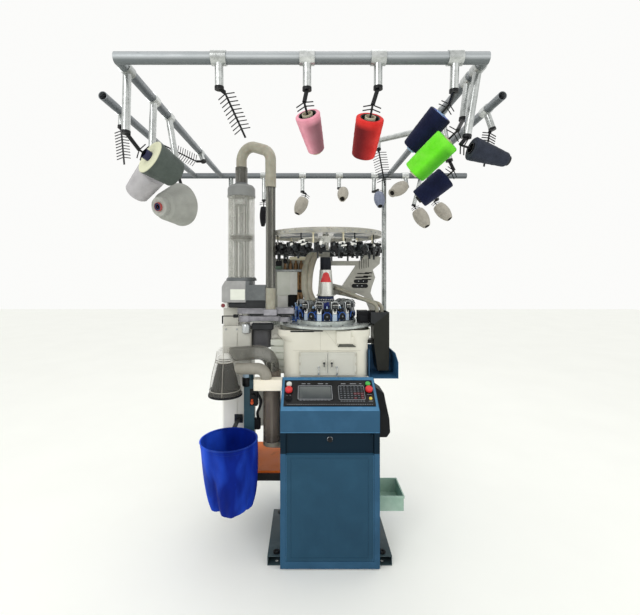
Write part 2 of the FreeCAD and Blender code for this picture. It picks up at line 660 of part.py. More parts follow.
def cabinet():
    """Sheet cabinet: two sides, and between them the front frame with its plinth, the floor, the
    back and the head with the slanted face."""
    left = S.machine_x - S.cabinet_w / 2
    wall = S.cabinet_wall
    front = S.cabinet_front
    back = S.cabinet_back
    low = S.plinth_clear
    top = S.console_back_z
    inner_front = front + S.plinth_t
    between = S.cabinet_w - wall * 2
    floor_top = S.rail_h + wall + 2
    outline = [(front, low), (inner_front, low), (inner_front, S.rail_h), (back, S.rail_h),
               (back, top), (S.console_back_y, top), (front, S.console_front_z)]
    hollow = [(front + wall, S.plinth_h), (inner_front + wall, S.plinth_h + 12),
              (back - wall, floor_top), (back - wall, top - wall * 2),
              (S.console_back_y, top - wall * 2), (front + wall, S.console_front_z - wall * 2)]
    sides = [pad("YZ_Plane", [outline], wall, x) for x in (left, left + S.cabinet_w - wall)]
    outer = pad("YZ_Plane", [outline], between, left + wall)
    inner = pad("YZ_Plane", [hollow], between + 2, left + wall - 1)
    opening = box(S.machine_x - S.door_w / 2, front - 1, S.plinth_h, S.door_w,
                  S.door_t + 4, S.door_top - S.plinth_h)
    holes = on_console(group(*[rod(S.button_u * spec["u"], spec["v"], -40, S.stem_r + S.running_gap, 60)
                               for spec in CONTROLS.values()]))
    x, y = door_pivot()
    lug = box(x - 12, front + 1, S.door_top, 24, S.door_pin_y * 2 + 4, S.door_pin_len + 4)
    seats = rod(x, y, S.plinth_h - S.door_pin_len, S.door_pin_r + S.running_gap,
                S.door_top - S.plinth_h + S.door_pin_len * 2)
    sheets = cut(fuse(cut(outer, inner, opening), lug), holes, seats)
    behind = box(left, back - wall, 0, S.cabinet_w, wall + 1, top + 1)
    above = box(left, front - 1, S.door_top, S.cabinet_w, back - wall - front + 1, top)
    below = box(left, inner_front + wall, 0, S.cabinet_w, back - wall * 2 - inner_front, floor_top + 8)
    node("cabinet_shell", group(*sides, cut(sheets, behind, above, below), common(sheets, below),
                                common(sheets, above), common(sheets, behind)))


def door_pivot():
    """Where the door's pivot pins stand: inside its right edge, close to its face."""
    x = S.machine_x + S.door_w / 2 - S.door_gap - S.door_pin_x
    return x, S.cabinet_front + S.door_pin_y


def cabinet_door():
    """Folded door with a set-back band at its top, where the lock sits."""
    gap = S.door_gap
    front = S.cabinet_front
    back = front + S.door_t
    recess = front + S.band_recess
    low = S.plinth_h + gap
    high = S.door_top - gap
    outline = [(front, low), (back, low), (back, high), (recess, high),
               (recess, S.band_low), (front, S.band_low - 6)]
    panel = pad("YZ_Plane", [outline], S.door_w - gap * 2, S.machine_x - S.door_w / 2 + gap)
    lock_hole = rod(S.machine_x, front - 1, S.lock_z, S.lock_r - 4, S.door_t + 2, "y")
    pan = box(S.machine_x - S.door_w / 2 + S.door_pan, front + S.cabinet_wall, low + S.door_pan,
              S.door_w - S.door_pan * 2, S.door_t, S.band_low - low - S.door_pan * 2)
    x, y = door_pivot()
    pins = [rod(x, y, z, S.door_pin_r, S.door_pin_len + gap)
            for z in (low - gap - S.door_pin_len + 1, high - 1)]
    node("cabinet_door", cut(fuse(panel, *pins), lock_hole, pan))
    face = rod(S.machine_x, recess - 7 - S.running_gap, S.lock_z, S.lock_r, 7, "y")
    barrel = rod(S.machine_x, recess - 1, S.lock_z, S.lock_r - 4 - S.running_gap, S.door_t - S.band_recess + 9, "y")
    key = box(S.machine_x - 2, recess - 12, S.lock_z - 7, 4, 6, 14)
    tongue = box(S.machine_x - 34, back + S.running_gap, S.lock_z - 6, 40, 4, 12)
    node("door_lock", fuse(face, barrel, key, tongue))


def console_face():
    """Black fascia with a raised screen bezel and keypad, and a hole for each control."""
    length = S.fascia_v1 - S.fascia_v0
    plate = box(-S.fascia_w / 2, S.fascia_v0, 0, S.fascia_w, length, S.fascia_t)
    screen = box(S.screen_u - S.screen_w / 2, S.screen_v - S.screen_h / 2, S.fascia_t - 1,
                 S.screen_w, S.screen_h, S.bezel_t + 1)
    glass = box(S.screen_u - S.screen_w / 2 + 10, S.screen_v - S.screen_h / 2 + 8,
                S.fascia_t + S.bezel_t - 1.5, S.screen_w - 20, S.screen_h - 16, 5)
    keypad = box(S.keypad_u - S.keypad_w / 2, S.screen_v - S.keypad_h / 2, S.fascia_t - 1,
                 S.keypad_w, S.keypad_h, S.bezel_t)
    holes = [rod(S.button_u * spec["u"], spec["v"], -5, S.stem_r + S.running_gap, 40)
             for spec in CONTROLS.values()]
    node("control_fascia", on_console(cut(fuse(plate, screen, keypad), glass, *holes)))


def console_controls():
    for label, spec in CONTROLS.items():
        u = S.button_u * spec["u"]
        low = S.fascia_t + spec["lift"]
        stem = rod(u, spec["v"], low - S.stem_len, S.stem_r, S.stem_len + 1)
        parts = [stem]
        if label == "selector_knob":
            parts.append(rod(u, spec["v"], low, spec["r"], spec["h"] / 2))
            parts.append(box(u - 5, spec["v"] - spec["r"] + 1, low, 10, spec["r"] * 2 - 2, spec["h"]))
        else:
            dome = doc.addObject("Part::Cone", "Cap")
            bind(dome, Radius1=spec["r"], Radius2=spec["r"] - 4, Height=5)
            parts.append(rod(u, spec["v"], low, spec["r"], spec["h"] - 5))
            parts.append(place(dome, u, spec["v"], low + spec["h"] - 5))
        node(label, on_console(fuse(*parts)))


# ---------------------------------------------------------------- knitting head

def rounded_outline(left, right, front, back, z, r):
    """A level wire round a rectangle with rounded corners."""
    k = r * (1 - math.sqrt(0.5))
    ends = [(left + r, front), (right - r, front), (right, front + r), (right, back - r),
            (right - r, back), (left + r, back), (left, back - r), (left, front + r)]
    middles = [(right - k, front + k), (right - k, back - k), (left + k, back - k),
               (left + k, front + k)]
    points = [V(x, y, z) for x, y in ends]
    edges = []
    for corner, (x, y) in enumerate(middles):
        start, bend = points[corner * 2], points[corner * 2 + 1]
        edges.append(Part.makeLine(start, bend))
        edges.append(Part.Arc(bend, V(x, y, z), points[(corner * 2 + 2) % 8]).toShape())
    return Part.Wire(edges)


def shroud_form(inset, low, high):
    """The shroud's outer form, or the room in it: upright walls, a part that leans out to both
    sides, and an upright lip on top."""
    left = (S.machine_x - S.shroud_left).value + inset
    right = (S.machine_x + S.shroud_right).value - inset
    front = S.shroud_front.value + inset
    back = (S.shroud_front + S.shroud_depth).value - inset
    r = S.shroud_r.value - inset
    lip = (S.shroud_top - S.lip_h).value
    levels = [(low, 0), (lip - S.flare_h.value, 0), (lip, 1), (high, 1)]
    wires = [rounded_outline(left - S.lip_left.value * out, right + S.lip_right.value * out,
                             front, back, z, r) for z, out in levels]
    return Part.makeLoft(wires, True, True)


def shroud():
    """Cream sheet shroud round the head, with flanks that lean out and a double hatch in front."""
    low, top = S.housing_top.value, S.shroud_top.value
    sheet = shape(shroud_form(0, low, top))
    hollow = shape(shroud_form(S.shroud_wall.value, low - 1, top + 1))
    opening = box(S.machine_x - S.hatch_w / 2 + 10, S.shroud_front - 20, S.hatch_low + 10,
                  S.hatch_w - 20, 40, S.hatch_h - 20)
    grip = box(S.machine_x + 60, S.shroud_front - 8, 1130, 90, 9, 50)
    node("shroud", cut(fuse(sheet, grip), hollow, opening))


def hatch(label, side):
    """One leaf of the hatch: a raised panel with its hinge barrel and its latch."""
    gap = S.running_gap
    y = S.shroud_front - S.hatch_t - gap
    inner = S.machine_x + side * 1.5
    width = S.hatch_w / 2 - 1.5
    left = inner if side > 0 else inner - width
    panel = box(left, y, S.hatch_low, width, S.hatch_t, S.hatch_h)
    hinge = rod(S.machine_x + side * S.hatch_w / 2, y + 3, S.hatch_low, 5, S.hatch_h)
    latch_x = S.machine_x + side * 22 - 6
    latch = box(latch_x, y - 12, S.hatch_low + 40, 12, 13, 46)
    node(label, fuse(panel, hinge, latch))


def bed():
    """Bed plate and cam ring on four columns that stand on the housing."""
    x = S.machine_x
    y = S.cylinder_y
    plate = rod(x, y, S.bed_low, S.bed_r, S.bed_t)
    cam_ring = rod(x, y, S.bed_low + S.bed_t, S.ring_r, S.ring_t)
    spread = S.column_spread
    columns = [rod(x + sx * spread, y + sy * spread, S.housing_top, S.column_r,
                   S.bed_low - S.housing_top) for sx in (-1, 1) for sy in (-1, 1)]
    hole = rod(x, y, S.bed_low - 1, S.bed_hole_r, S.bed_t + S.ring_t + 2)
    node("bed_plate", group(cut(plate, hole), cut(cam_ring, hole), *columns))


def needle_cylinder():
    """Turned cylinder with its belt wheel and a ring of needle grooves cut along its wall."""
    x = S.machine_x.value
    y = S.cylinder_y.value
    r = S.cylinder_r.value
    inner = r - S.cylinder_wall.value
    wheel = S.pulley_r.value
    low = S.pulley_low.value
    high = low + S.pulley_h.value
    rim = S.flange_t.value
    ring_top = S.bed_low.value + S.bed_t.value + S.ring_t.value
    profile = [(inner, S.cylinder_low.value), (r, S.cylinder_low.value), (r, low), (wheel + rim, low),
               (wheel + rim, low + rim), (wheel, low + rim), (wheel, high - rim),
               (wheel + rim, high - rim), (wheel + rim, high), (r, high),
               (r, S.cylinder_top.value), (inner, S.cylinder_top.value)]
    points = [V(radius, 0, z) for radius, z in profile]
    face = Part.Face(Part.makePolygon(points + points[:1]))
    solid = face.revolve(V(0, 0, 0), V(0, 0, 1), 360)
    count = int(S.groove_count.value)
    tools = []
    for n in range(count):
        tool = Part.makeBox(S.groove_depth.value + 2, S.groove_w.value,
                            S.cylinder_top.value - ring_top,
                            V(r - S.groove_depth.value, -S.groove_w.value / 2, ring_top + 10))
        tool.rotate(V(0, 0, 0), V(0, 0, 1), 360 * n / count)
        tools.append(tool)
    solid = solid.cut(tools)
    solid.translate(V(x, y, 0))
    node("needle_cylinder", shape(solid))


def drive():
    """Motor hung from the bed on three posts, its wheel, and the belt to the cylinder."""
    x = S.machine_x + S.motor_dx
    y = S.cylinder_y + S.motor_dy
    half = S.motor_w / 2
    body = box(x - half, y - half, S.motor_low, S.motor_w, S.motor_w, S.motor_top - S.motor_low)
    corner = half - 7
    posts = [rod(x + sx * corner, y + sy * corner, S.motor_top - 1, 5, S.bed_low - S.motor_top + 1)
             for sx, sy in ((1, 1), (-1, 1))]
    shaft = rod(x, y, S.motor_top - 1, 8 - S.running_gap, S.pulley_low + S.pulley_h - S.motor_top)
    node("drive_motor", fuse(body, shaft, *posts))
    wheel = ring(x, y, S.pulley_low + 2, S.motor_pulley_r, 8, S.pulley_h - 4)
    node("motor_pulley", wheel)
    node("drive_belt", shape(belt_loop()))


def belt_loop():
    """The belt: both outer tangents and the wraps round the two wheels, as a flat band."""
    gap = S.running_gap.value
    big = S.pulley_r.value + gap
    small = S.motor_pulley_r.value + gap
    dx = S.motor_dx.value
    dy = S.motor_dy.value
    centre = math.hypot(dx, dy)
    lean = math.acos((big - small) / centre)
    heading = math.atan2(dy, dx)

    def loop(extra):
        def at(centre_x, r, angle):
            return V(centre_x + r * math.cos(angle), r * math.sin(angle), 0)
        r1 = big + extra
        r2 = small + extra
        a, b = at(0, r1, lean), at(0, r1, -lean)
        c, d = at(centre, r2, lean), at(centre, r2, -lean)
        edges = [Part.Arc(a, V(-r1, 0, 0), b).toShape(), Part.LineSegment(b, d).toShape(),
                 Part.Arc(d, V(centre + r2, 0, 0), c).toShape(), Part.LineSegment(c, a).toShape()]
        return Part.Face(Part.Wire(edges))

    band = loop(S.belt_t.value).cut(loop(0)).extrude(V(0, 0, S.belt_h.value))
    band.rotate(V(0, 0, 0), V(0, 0, 1), math.degrees(heading))
    middle = S.pulley_low.value + S.pulley_h.value / 2
    band.translate(V(S.machine_x.value, S.cylinder_y.value, middle - S.belt_h.value / 2))
    return band


def feeder_units():
    """Cam boxes round the cylinder, the first one in front, and the brackets of the yarn fingers
    between them; the hose beside the dial takes the place of one bracket."""
    floor = S.bed_low + S.bed_t + S.ring_t
    step = 360 / DRIVING["feeder_count"]
    head_low = floor + S.finger_head
    boxes = []
    brackets = []
    for n in range(DRIVING["feeder_count"]):
        r = S.feeder_r
        block = box(-22, -r - 12, floor, 44, 34, 46)
        dial_face = rod(0, -r - 20, floor + 30, 24, 9, "y")
        lug = box(-8, -r - 8, floor + 40, 16, 24, 26)
        boxes.append(turned_about(fuse(block, dial_face, lug), S.machine_x, S.cylinder_y, step * n))
        if n == DRIVING["hose_station"]:
            continue
        stand = box(-13, -r - 14, floor, 26, 16, S.finger_head + 14)
        head = box(-19, -r - 6, head_low, 38, 34, 22)
        tip = pad("YZ_Plane", [[(-r + 27, head_low + 4), (-r + 70, head_low - 6),
                                (-r + 76, head_low), (-r + 27, head_low + 18)]], 14, -7)
        brackets.append(turned_about(fuse(stand, head, tip), S.machine_x, S.cylinder_y,
                                     step * (n + 0.5)))
    node("cam_boxes", group(*boxes))
    node("yarn_finger_units", group(*brackets))


def dial_head():
    """Dial over the cylinder, its tapered cover on a slide, and the motor on top."""
    x = S.machine_x
    y = S.cylinder_y
    gap = S.running_gap
    low = S.cylinder_top + S.dial_gap
    disc = rod(x, y, low, S.dial_r, S.dial_t)
    shaft = rod(x, y, low, S.dial_shaft_r, S.cover_low + 60 - low)
    node("dial", fuse(disc, shaft))
    taper = doc.addObject("Part::Cone", "Cover")
    bind(taper, Radius1=S.cover_r_low, Radius2=S.cover_r_top, Height=S.cover_top - S.cover_low)
    place(taper, x, y, S.cover_low)
    foot = rod(x, y, S.cover_low, S.cover_r_low + 5, 10)
    bore = rod(x, y, S.cover_low - 1, S.dial_shaft_r + gap, 70)
    slide = box(x - 15, y, S.cover_low + 20, 30, S.bracket_front - gap - y, 120)
    node("dial_cover", cut(fuse(taper, foot, slide), bore))
    motor = rod(x, y, S.cover_top, S.head_motor_r, S.head_motor_h)
    node("dial_motor", motor)


def head_bracket():
    """Cast arm: a hub behind the dial, an arch down to the bed and a wing up to the ring."""
    x = S.machine_x
    left = x - S.hub_half
    right = x + S.hub_half
    foot = S.bed_low + S.bed_t
    top = S.tension_z
    outline = [(left, S.hub_low), (right, S.hub_low), (x + 75, foot + 165), (x + 123, foot + 156),
               (x + 206, foot + 172), (x + 263, foot + 149), (x + 296, foot + 66), (x + 296, foot + 22),
               (x + 230, foot + 22), (x + 230, foot), (x + 345, foot), (x + 345, foot + 22),
               (x + 340, foot + 60), (x + 327, foot + 118), (x + 300, foot + 175), (x + 308, foot + 213), (x + 331, foot + 278),
               (x + 315, foot + 328), (x + 360, foot + 367), (x + 366, top - 14), (x + 345, top),
               (x + 262, top), (x + 238, top - 38), (right, top - 38), (right, S.hub_top),
               (left, S.hub_top)]
    window = [(right + 10, foot + 240), (x + 115, foot + 222), (x + 205, foot + 357), (right + 10, foot + 357)]
    slots = [[(x + 240 + n * 10, foot + 260 + n * 22), (x + 306 + n * 2, foot + 260 + n * 22),
              (x + 306 + n * 2, foot + 268 + n * 22), (x + 244 + n * 10, foot + 268 + n * 22)] for n in range(3)]
    casting = pad("XZ_Plane", [outline, window] + slots, S.bracket_t, S.bracket_front + S.bracket_t)
    cap = box(left, S.cylinder_y - S.hub_half, S.hub_top - 10, S.hub_half * 2,
              S.bracket_front + 1 - S.cylinder_y + S.hub_half, 10)
    column = rod(x, S.cylinder_y, S.hub_top - 1, S.head_column_r, S.disc_low - S.hub_top + 1)
    node("head_bracket", fuse(casting, cap, column))


def overhead():
    """Clear disc over the head, and under it the ring of yarn tension units on its posts. The
    first unit sits over the cast wing and so has no finger below the ring."""
    x = S.machine_x
    y = S.cylinder_y
    r = S.disc_r
    t = S.disc_t
    rim = S.disc_rim
    node("top_disc", turn([(0, 0), (r - t, 0), (r - t, -rim), (r, -rim), (r, t), (r * 0.45, t * 2.4),
                           (0, t * 2.4)], x, y, S.disc_low))
    low = S.tension_z
    band = ring(x, y, low, S.tension_r, S.tension_r - S.tension_w, S.tension_t)
    middle = S.tension_r - S.tension_w / 2
    top = low + S.tension_t
    count = DRIVING["tension_count"]
    parts = [band]
    for n in range(count):
        body = box(middle - 24, -17, top - 1, 52, 34, 44)
        wheel = rod(middle + 28, 0, top + 18, 15, 10, "x")
        pieces = [body, wheel]
        if n > 0:
            pieces.append(box(middle - 8, -4, low - 34, 12, 8, 36))
        unit = fuse(*pieces)
        unit.Placement.Rotation = FreeCAD.Rotation(V(0, 0, 1), 360 * (n + 0.5) / count)
        parts.append(place(unit, x, y))
    for n in range(6):
        angle = math.radians(60 * n)
        parts.append(rod(x + middle * math.cos(angle), y + middle * math.sin(angle), top - 1, 4,
                         S.disc_low - top + 1))
    node("tension_ring", fuse(*parts))


def head_boxes():
    """White drive box at the left rear of the bed, and the black valve block at its right."""
    foot = S.bed_low + S.bed_t
    upper = box(S.machine_x - 320, S.cylinder_y + 90, foot + 161, 135, 100, 154)
    neck = box(S.machine_x - 318, S.cylinder_y + 96, foot, 70, 88, 162)
    pad_plate = box(S.machine_x - 318, S.cylinder_y + 96, foot, 120, 60, 20)
    node("drive_box", fuse(upper, neck, pad_plate))
    block = box(S.machine_x + 196, S.cylinder_y - 110, foot, 64, 90, 72)
    side = box(S.machine_x + 202, S.cylinder_y - 118, foot + 8, 50, 9, 40)
    wall_x = S.machine_x - S.shroud_left
    spine = box(wall_x - S.stack_w + 16, S.cylinder_y - 110, S.housing_top, S.stack_w - 16, 40, 210)
    valves = [box(wall_x - S.stack_w, S.cylinder_y - 120, S.housing_top + 6 + 42 * n, S.stack_w, 70, 34)
              for n in range(5)]
    node("valve_block", group(fuse(block, side), fuse(spine, *valves)))


# ---------------------------------------------------------------- linking unit on the left

def linking_unit():
    low = S.shelf_top + S.mat_t
    pillar = rounded(S.pillar_x - S.pillar_w / 2, S.pillar_y - S.pillar_d / 2, low, S.pillar_w,
                     S.pillar_d, S.pillar_top - low, 14)
    post = rod(S.post_x, S.unit_y, S.pillar_top - 1, S.post_r, S.unit_low - S.pillar_top + 1)
    bridge = box(S.post_x - 45, S.unit_y - S.bridge_w / 2, S.bridge_low, S.bridge_end - S.post_x + 45,
                 S.bridge_w, S.bridge_t)
    saddle = box(S.riser_x - S.riser_r - 8, S.riser_y - S.riser_r - 8, S.bridge_low,
                 S.riser_r * 2 + 16, S.unit_y - S.riser_y, S.bridge_t)
    groove = box(S.pillar_x + 2, S.pillar_y - S.pillar_d / 2 - 1, low + 20, 6, 6,
                 S.pillar_top - low - 60)
    room = box(S.pillar_x - S.pillar_w / 2 + 8, S.pillar_y - S.pillar_d / 2 + 8, low - 1, S.pillar_w - 16,
               S.pillar_d - 16, S.pillar_top - low - 29)
    head = box(S.pillar_x - S.pillar_w / 2, S.unit_y - 10, S.pillar_top - 1, S.pillar_head_w, 130,
               S.unit_low - S.pillar_top + 1)
    motor = rounded(S.pillar_x + S.pillar_w / 2, S.pillar_y - 74, S.swing_motor_low, S.swing_motor_w, 110,
                    S.swing_motor_h, 30)
    node("linker_pillar", group(cut(fuse(pillar, post, bridge, saddle, head), groove, room), motor))
    left = S.unit_x - 110
    front = S.unit_y - S.unit_d / 2
    housing = rounded(left, front, S.unit_low, S.unit_w, S.unit_d, S.unit_top - S.unit_low, 40)
    wing_w = S.riser_x - S.riser_r - 3 - (left + S.unit_w - 30)
    wing = box(left + S.unit_w - 30, front, S.unit_low + 8, wing_w, 56, 96)
    shade = box(left + S.unit_w - 20, front + 8, S.unit_low - 34, wing_w - 14, 44, 44)
    shoulder = pad("XZ_Plane", [[(left - 1, S.unit_top - 43), (left - 1, S.unit_top + 1),
                                 (left + 28, S.unit_top + 1)]], S.unit_d + 2, front + S.unit_d + 1)
    node("linker_housing", cut(fuse(housing, wing, shade), shoulder))
    tube = ring(S.unit_x, S.unit_y, S.unit_top, S.clear_r, S.clear_r - S.clear_wall,
                S.clear_top - S.unit_top)
    node("clear_cylinder", tube)
    cap = turn([(0, 0), (S.clear_r, 0), (S.clear_r, S.unit_cap_h - 14),
                (S.clear_r - 10, S.unit_cap_h), (0, S.unit_cap_h)], S.unit_x, S.unit_y, S.clear_top)
    block = box(S.unit_x - 38, S.unit_y - 30, S.clear_top - 56, 76, 60, 57)
    rods = [rod(S.unit_x + dx, S.unit_y, S.unit_top, r, S.clear_top - S.unit_top)
            for dx, r in ((0, S.guide_r), (-S.side_rod_x, S.side_rod_r), (S.side_rod_x, S.side_rod_r))]
    node("transport_guides", fuse(cap, block, *rods))
    gap = S.running_gap
    puck = rod(S.unit_x, S.unit_y, S.slider_low, S.slider_r, S.slider_h)
    collar = rod(S.unit_x, S.unit_y, S.slider_low + 12, S.slider_r + 8, S.slider_h - 24)
    bores = [rod(S.unit_x + dx, S.unit_y, S.slider_low - 1, r + gap, S.slider_h + 2)
             for dx, r in ((0, S.guide_r), (-S.side_rod_x, S.side_rod_r), (S.side_rod_x, S.side_rod_r))]
    node("transport_slider", cut(fuse(puck, collar), *bores))


def transfer_arm():
    """Swinging arm that carries the sock from the cylinder, with its open transfer ring."""
    gap = S.running_gap
    x = S.post_x
    y = S.unit_y
    low = S.arm_low
    hub = rod(x, y, low, 44, S.arm_t)
    reach = S.arm_reach
    outline = [(x, y - 36), (x + reach - 60, y - 26), (x + reach - 60, y + 26), (x, y + 36)]
    beam = pad("XY_Plane", [outline], S.arm_t - 8, low + 4)
    head = rod(x + reach - 42, y, low, 42, S.arm_t - 8)
    eye = rod(x + reach - 42, y, low - 1, 26, S.arm_t)
    bore = rod(x, y, low - 1, S.post_r + gap, S.arm_t + 2)
    node("transfer_arm", cut(fuse(hub, beam, head), eye, bore))


# ---------------------------------------------------------------- ducts, collector and bag

def bell_profile(inset):
    """Half outline of the bell as (radius, height) points, inset by a wall."""
    low = S.bell_low.value
    r = S.bell_r.value - inset
    top = S.bell_top.value - inset
    return [V(r, 0, low), V(r - 5, 0, low + 24), V(r - 19, 0, low + 110), V(r - 36, 0, low + 180),
            V(r - 46, 0, top - 22), V(r - 62, 0, top)]


def bell_solid(inset):
    side = bell_profile(inset)
    points = [V(0, 0, S.bell_low.value)] + side + [V(0, 0, side[-1].z)]
    face = Part.Face(Part.makePolygon(points + points[:1]))
    solid = face.revolve(V(0, 0, 0), V(0, 0, 1), 360)
    solid.translate(V(S.bell_x.value, S.bell_y.value, 0))
    return solid


def elbow_points():
    bell = V(S.bell_x.value, S.bell_y.value, S.elbow_z.value)
    corner = V(S.suction_x.value, S.suction_y.value, S.elbow_z.value)
    end = V(corner.x, corner.y, S.elbow_z.value - S.elbow_bend.value - 20)
    return [bell, corner, end]


def duct_points():
    y = S.bell_y.value
    z = S.duct_z.value
    end = S.cream_low.value + S.cream_h.value
    return [V(S.bell_x.value, y, z), V(S.duct_x.value, y, z), V(S.duct_x.value, y, end)]


def collector():
    """Clear bell with its mesh cone and bottom gate, and the two ducts that leave it."""
    outer = bell_solid(0)
    hollow = bell_solid(S.bell_wall.value)
    hollow.translate(V(0, 0, -S.bell_wall.value))
    hollow = hollow.fuse(Part.makeCylinder(S.bell_r.value - S.bell_wall.value, 20,
                                           V(S.bell_x.value, S.bell_y.value, S.bell_low.value - 10)))
    elbow = bent_tube(elbow_points(), [S.elbow_bend.value], S.elbow_r.value, 3).cut(outer)
    elbow_bore = bent_bar(elbow_points(), [S.elbow_bend.value], S.elbow_r.value - 3)
    duct = bent_tube(duct_points(), [S.duct_bend.value], S.duct_r.value, 3).cut(outer)
    duct_bore = bent_bar(duct_points(), [S.duct_bend.value], S.duct_r.value - 3)
    bell = outer.fuse(gate_lugs()).cut([hollow, elbow_bore, duct_bore])
    node("collector_bell", shape(bell.removeSplitter()))
    mesh_low = S.mesh_low.value
    at = V(S.bell_x.value, S.bell_y.value, mesh_low)
    inner_r = S.bell_r.value - S.bell_wall.value - 5
    mesh = Part.makeCone(S.mesh_r_low.value, S.mesh_r_top.value, S.mesh_h.value, at)
    mesh = mesh.cut(Part.makeCone(S.mesh_r_low.value - 3, S.mesh_r_top.value - 3, S.mesh_h.value - 3, at))
    mesh = mesh.fuse(Part.makeCylinder(inner_r, 6, at).cut(
        Part.makeCylinder(S.mesh_r_low.value - 3, 6, at)))
    fitted = mesh.common(hollow)
    node("mesh_cone", shape(fitted.removeSplitter()))
    node("clear_ducts", group(shape(elbow), suction_tube(), *riser_tube(), neck_tube()))
    return duct


def suction_tube():
    """Upright suction tube with the ring that steps down to the elbow."""
    top = S.elbow_z - S.elbow_bend - 20
    x = S.suction_x
    y = S.suction_y
    tube = ring(x, y, S.suction_low, S.suction_r, S.suction_r - S.suction_wall, top - S.suction_low - 6)
    step = ring(x, y, top - 6, S.suction_r, S.elbow_r - 3, 6)
    return fuse(tube, step)


def riser_tube():
    """Upright sock tube on the bridge: three lengths end to end, and a sleeve round the top one
    that carries the hose."""
    x = S.riser_x
    y = S.riser_y
    bore = S.riser_r - S.riser_wall
    ends = [S.bridge_low + S.bridge_t, S.riser_joint_low, S.riser_joint_high, S.riser_top]
    lengths = [ring(x, y, low, S.riser_r, bore, high - low) for low, high in zip(ends, ends[1:])]
    sleeve = ring(x, y, S.sleeve_low, S.riser_r + S.hose_wall, S.riser_r, S.riser_top - S.sleeve_low)
    return lengths + [sleeve]


def neck_tube():
    base = S.clear_top + S.unit_cap_h
    return ring(S.unit_x, S.unit_y, base, S.neck_r, S.riser_r + S.hose_wall + 0.2, S.neck_top - base)


def waste_hose(start_x, end_x, end_y, lift):
    """A thin hose from the casting beside the dial, over the bed, down into the waste chute."""
    front = S.bracket_front.value
    start_z = S.cover_low.value + lift
    mouth = S.chute_top.value
    points = [V(start_x, front, start_z), V(start_x, front - 36, start_z),
              V(end_x, end_y, mouth + 40), V(end_x, end_y, mouth - 16)]
    return bent_tube(points, [24, 40], S.waste_hose_r.value, 2.5)


def ducts(collector_duct):
    """Opaque bent ducts: over the top of the unit, from the bell, beside the dial, to the fan, and
    the two thin ones that drop yarn waste into the chute."""
    start = V(S.unit_x.value, S.unit_y.value, S.neck_top.value)
    finish = V(S.riser_x.value, S.riser_y.value, S.riser_top.value)
    wall = S.hose_wall.value
    over = [V(start.x, start.y, start.z - 12), V(start.x, start.y, start.z + S.arch_rise.value),
            V(finish.x, finish.y, finish.z + 110), finish]
    arch = bent_tube(over, [S.arch_bend.value] * 2, S.riser_r.value + wall, wall)
    floor = S.bed_low.value + S.bed_t.value + S.ring_t.value
    x = S.machine_x.value
    y = S.cylinder_y.value
    behind = S.bracket_front.value + S.bracket_t.value / 2
    into = S.hub_top.value - 20
    head = [V(x - 97, y - 40, floor), V(x - 97, y - 40, floor + 74), V(x - 134, y - 32, floor + 184),
            V(x - 134, y - 5, floor + 304), V(x - 102, y + 52, into - 18), V(x - 64, behind, into),
            V(x - S.hub_half.value, behind, into)]
    pipe = bent_tube(head, [110, 120, 120, 70, 50], 22, 3)
    housing_left = x - S.housing_w.value / 2
    fan_z = S.suction_low.value - 24
    base = V(S.suction_x.value, S.suction_y.value, fan_z)
    cup = Part.makeCylinder(S.suction_r.value, S.suction_low.value - fan_z, base)
    outlet = straight(base, V(housing_left, base.y, fan_z), 23)
    chute = S.chute_left.value
    thin = [shape(waste_hose(x + 72, chute + 30, 62, 47)), shape(waste_hose(x + 103, chute + 62, 84, 15))]
    node("ducts", group(shape(arch), shape(collector_duct), shape(pipe), shape(cup.fuse(outlet)), *thin))


def gate_pivot():
    """Where the gate's hinge pin lies: across the back of the bell, level with the gate."""
    y = S.bell_y + S.bell_r + 9
    return y, S.bell_low - S.running_gap - S.gate_t / 2


def gate_lugs():
    """The bell's two lugs that hold the gate's hinge pin."""
    y, z = gate_pivot()
    pin = Part.makeCylinder(S.gate_pin_r.value + S.running_gap.value, 80,
                            V(S.bell_x.value - 40, y.value, z.value), V(1, 0, 0))
    lugs = [Part.makeBox(8, 34, 26, V(S.bell_x.value + x, y.value - 26, z.value - 8)) for x in (-27, 19)]
    return [lug.cut(pin) for lug in lugs]


def sock_gate():
    """Black ring flap that closes the bell's mouth, hinged on a pin at the back."""
    gap = S.running_gap
    low = S.bell_low - S.gate_t - gap
    ringed = rod(S.bell_x, S.bell_y, low, S.bell_r + 3, S.gate_t)
    well = rod(S.bell_x, S.bell_y, low + 4, S.bell_r - 10, S.gate_t)
    y, z = gate_pivot()
    ear = box(S.bell_x - 18, S.bell_y + S.bell_r - 4, low, 36, 13, S.gate_t)
    barrel = rod(S.bell_x - 18, y, z, S.gate_t / 2 + 1, 36, "x")
    pin = rod(S.bell_x - 26, y, z, S.gate_pin_r, 52, "x")
    notches = [box(S.bell_x + x, y - 30, low - 1, 9.4, 43, S.gate_t + 2) for x in (-27.7, 18.3)]
    node("sock_gate", fuse(cut(fuse(ringed, ear), well, *notches), barrel, pin))


def bag_section(z_share, r_x, r_y, shift_x, folds):
    """One closed outline of the bag: an oval drawn in by a few soft folds."""
    points = []
    count = 16
    for n in range(count):
        angle = 2 * math.pi * n / count
        wave = 1 - folds * (0.5 + 0.5 * math.cos(5 * angle + 0.6))
        points.append(V(S.bag_x.value + shift_x + r_x * wave * math.cos(angle),
                        S.bag_y.value + r_y * wave * math.sin(angle),
                        S.bag_ring_z.value - z_share * S.bag_depth.value))
    return Part.makePolygon(points + points[:1])


